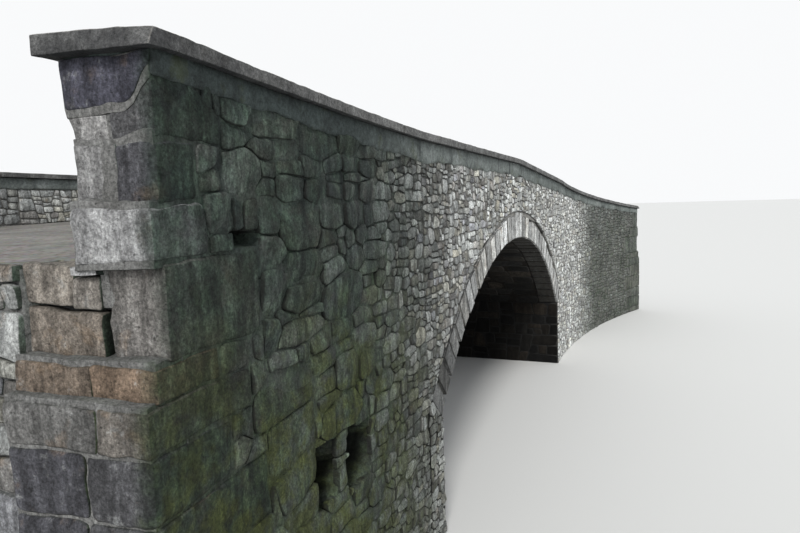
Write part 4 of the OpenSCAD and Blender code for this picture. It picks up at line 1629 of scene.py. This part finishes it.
def build_passage(half, seed):
    """Stones on the abutment face under the arch, over the plain abutment."""
    shape = Shape()
    rng = np.random.default_rng(seed)
    masonry = Masonry(seed)
    outline = strip(-HALF_WIDTH, HALF_WIDTH, level(0), level(SPRING_Z))
    lay_even(masonry, outline, PASSAGE_RUBBLE, rng, lambda cell: int(half == "far"))
    masonry.add_to(shape, passage_face(half))
    shape.show(f"{half}_abutment_face", "barrel_stone", [], [VAULT, MORTAR])


# Vault stones: lengths, joint, how far they stand out and reach in, and how flat they are
VAULT_LENGTH, LEAST_VAULT_STONE = (0.35, 0.85), 0.25
VAULT_JOINT, VAULT_PROUD, VAULT_SINK, VAULT_MOST = 0.014, (0.004, 0.014), 0.004, 0.006


def build_vault(seed):
    """Long courses of the arch seen from below, over the plain barrel."""
    shape = Shape()
    rng = np.random.default_rng(seed)
    masonry = Masonry(seed)
    reach = HALF_WIDTH - RING_BED
    for k in range(-STONES_PER_HALF, STONES_PER_HALF + 1):
        low, high = (k - 0.5) * STONE_TURN * ARCH_RADIUS, (k + 0.5) * STONE_TURN * ARCH_RADIUS
        u = -reach
        while u < reach - 0.05:
            length = rng.uniform(*VAULT_LENGTH)
            end = reach if reach - u - length < LEAST_VAULT_STONE else u + length
            cell = strip(u, end, level(low), level(high))
            masonry.stone(cell, VAULT_JOINT, VAULT_PROUD, VAULT_SINK, 0)
            u = end
    for points in masonry.uvw:
        points[:, 1] /= ARCH_RADIUS
    masonry.add_to(shape, Face(vault_place, False), VAULT_MOST, wavy=False)
    shape.show("vault_stones", "barrel_stone", [], [VAULT, MORTAR])


for i, side in enumerate(FACE_SIGN):
    for j, half in enumerate(HALF_SIGN):
        quarter = Quarter(side, half)
        seed = 100 + 40 * i + 20 * j
        build_walls(quarter, seed)
        build_quoins(quarter, seed + 300)
        build_coping(quarter, seed + 400)
        build_band(quarter, seed + 500)
    build_ring(side, 700 + 50 * i)
for j, half in enumerate(HALF_SIGN):
    build_end_wall(half, 800 + j)
    build_passage(half, 820 + j)
build_vault(850)

for name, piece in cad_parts.items():
    material = GRAVEL if name.endswith("fill") else VAULT if name.startswith("barrel") else MORTAR
    piece.data.materials.clear()
    piece.data.materials.append(material)


# Floor, light and camera


def build_stage():
    bpy.ops.mesh.primitive_plane_add(size=400, location=(0, 0, -0.001))
    floor = bpy.context.object
    floor.name = "floor"
    floor.data.materials.append(new_material("pale_floor", (0.72, 0.72, 0.70), 0.9)[0])


def add_object(name, data):
    made = bpy.data.objects.new(name, data)
    bpy.context.scene.collection.objects.link(made)
    return made


def build_light():
    world = bpy.data.worlds.new("studio")
    world.use_nodes = True
    tree = world.node_tree
    plain = tree.nodes["Background"]
    plain.inputs["Color"].default_value = (0.93, 0.96, 1.0, 1)
    plain.inputs["Strength"].default_value = 0.75
    seen = add_node(tree, "ShaderNodeBackground", {"Color": (0.95, 0.96, 0.97, 1), "Strength": 1.0})
    to_camera = add_node(tree, "ShaderNodeLightPath").outputs["Is Camera Ray"]
    inputs = {0: to_camera, 1: plain.outputs[0], 2: seen.outputs[0]}
    mix = add_node(tree, "ShaderNodeMixShader", inputs)
    tree.links.new(mix.outputs[0], tree.nodes["World Output"].inputs["Surface"])
    bpy.context.scene.world = world
    lamp = bpy.data.lights.new("key", "SUN")
    lamp.energy = 2.2
    lamp.angle = math.radians(12)
    lamp.color = (1.0, 0.985, 0.965)
    from_sun = Vector((1.0, 0.30, -0.85))
    add_object("key", lamp).rotation_euler = from_sun.to_track_quat("-Z", "Y").to_euler()


def build_camera():
    """Camera matched to the photo, which it was fitted to by the coping and arch lines."""
    place = (-11.642, -7.069, 4.210)
    turn, dip, roll = math.radians(22.80), math.radians(-6.08), math.radians(1.92)
    lens = bpy.data.cameras.new("camera")
    lens.sensor_width = 36.0
    lens.lens = 29.25
    lens.clip_end = 500
    camera = add_object("camera", lens)
    flat = math.cos(dip)
    ahead = np.array([math.cos(turn) * flat, math.sin(turn) * flat, math.sin(dip)])
    right = np.array([math.sin(turn), -math.cos(turn), 0.0])
    up = np.cross(right, ahead)
    tilted_right = right * math.cos(roll) - up * math.sin(roll)
    tilted_up = up * math.cos(roll) + right * math.sin(roll)
    axes = Matrix(np.column_stack([tilted_right, tilted_up, -ahead]).tolist()).to_4x4()
    axes.translation = (place[0] + ARCH_X, place[1], place[2])
    camera.matrix_world = axes
    bpy.context.scene.camera = camera


build_stage()
build_light()
build_camera()
bpy.context.scene.view_settings.view_transform = "Standard"
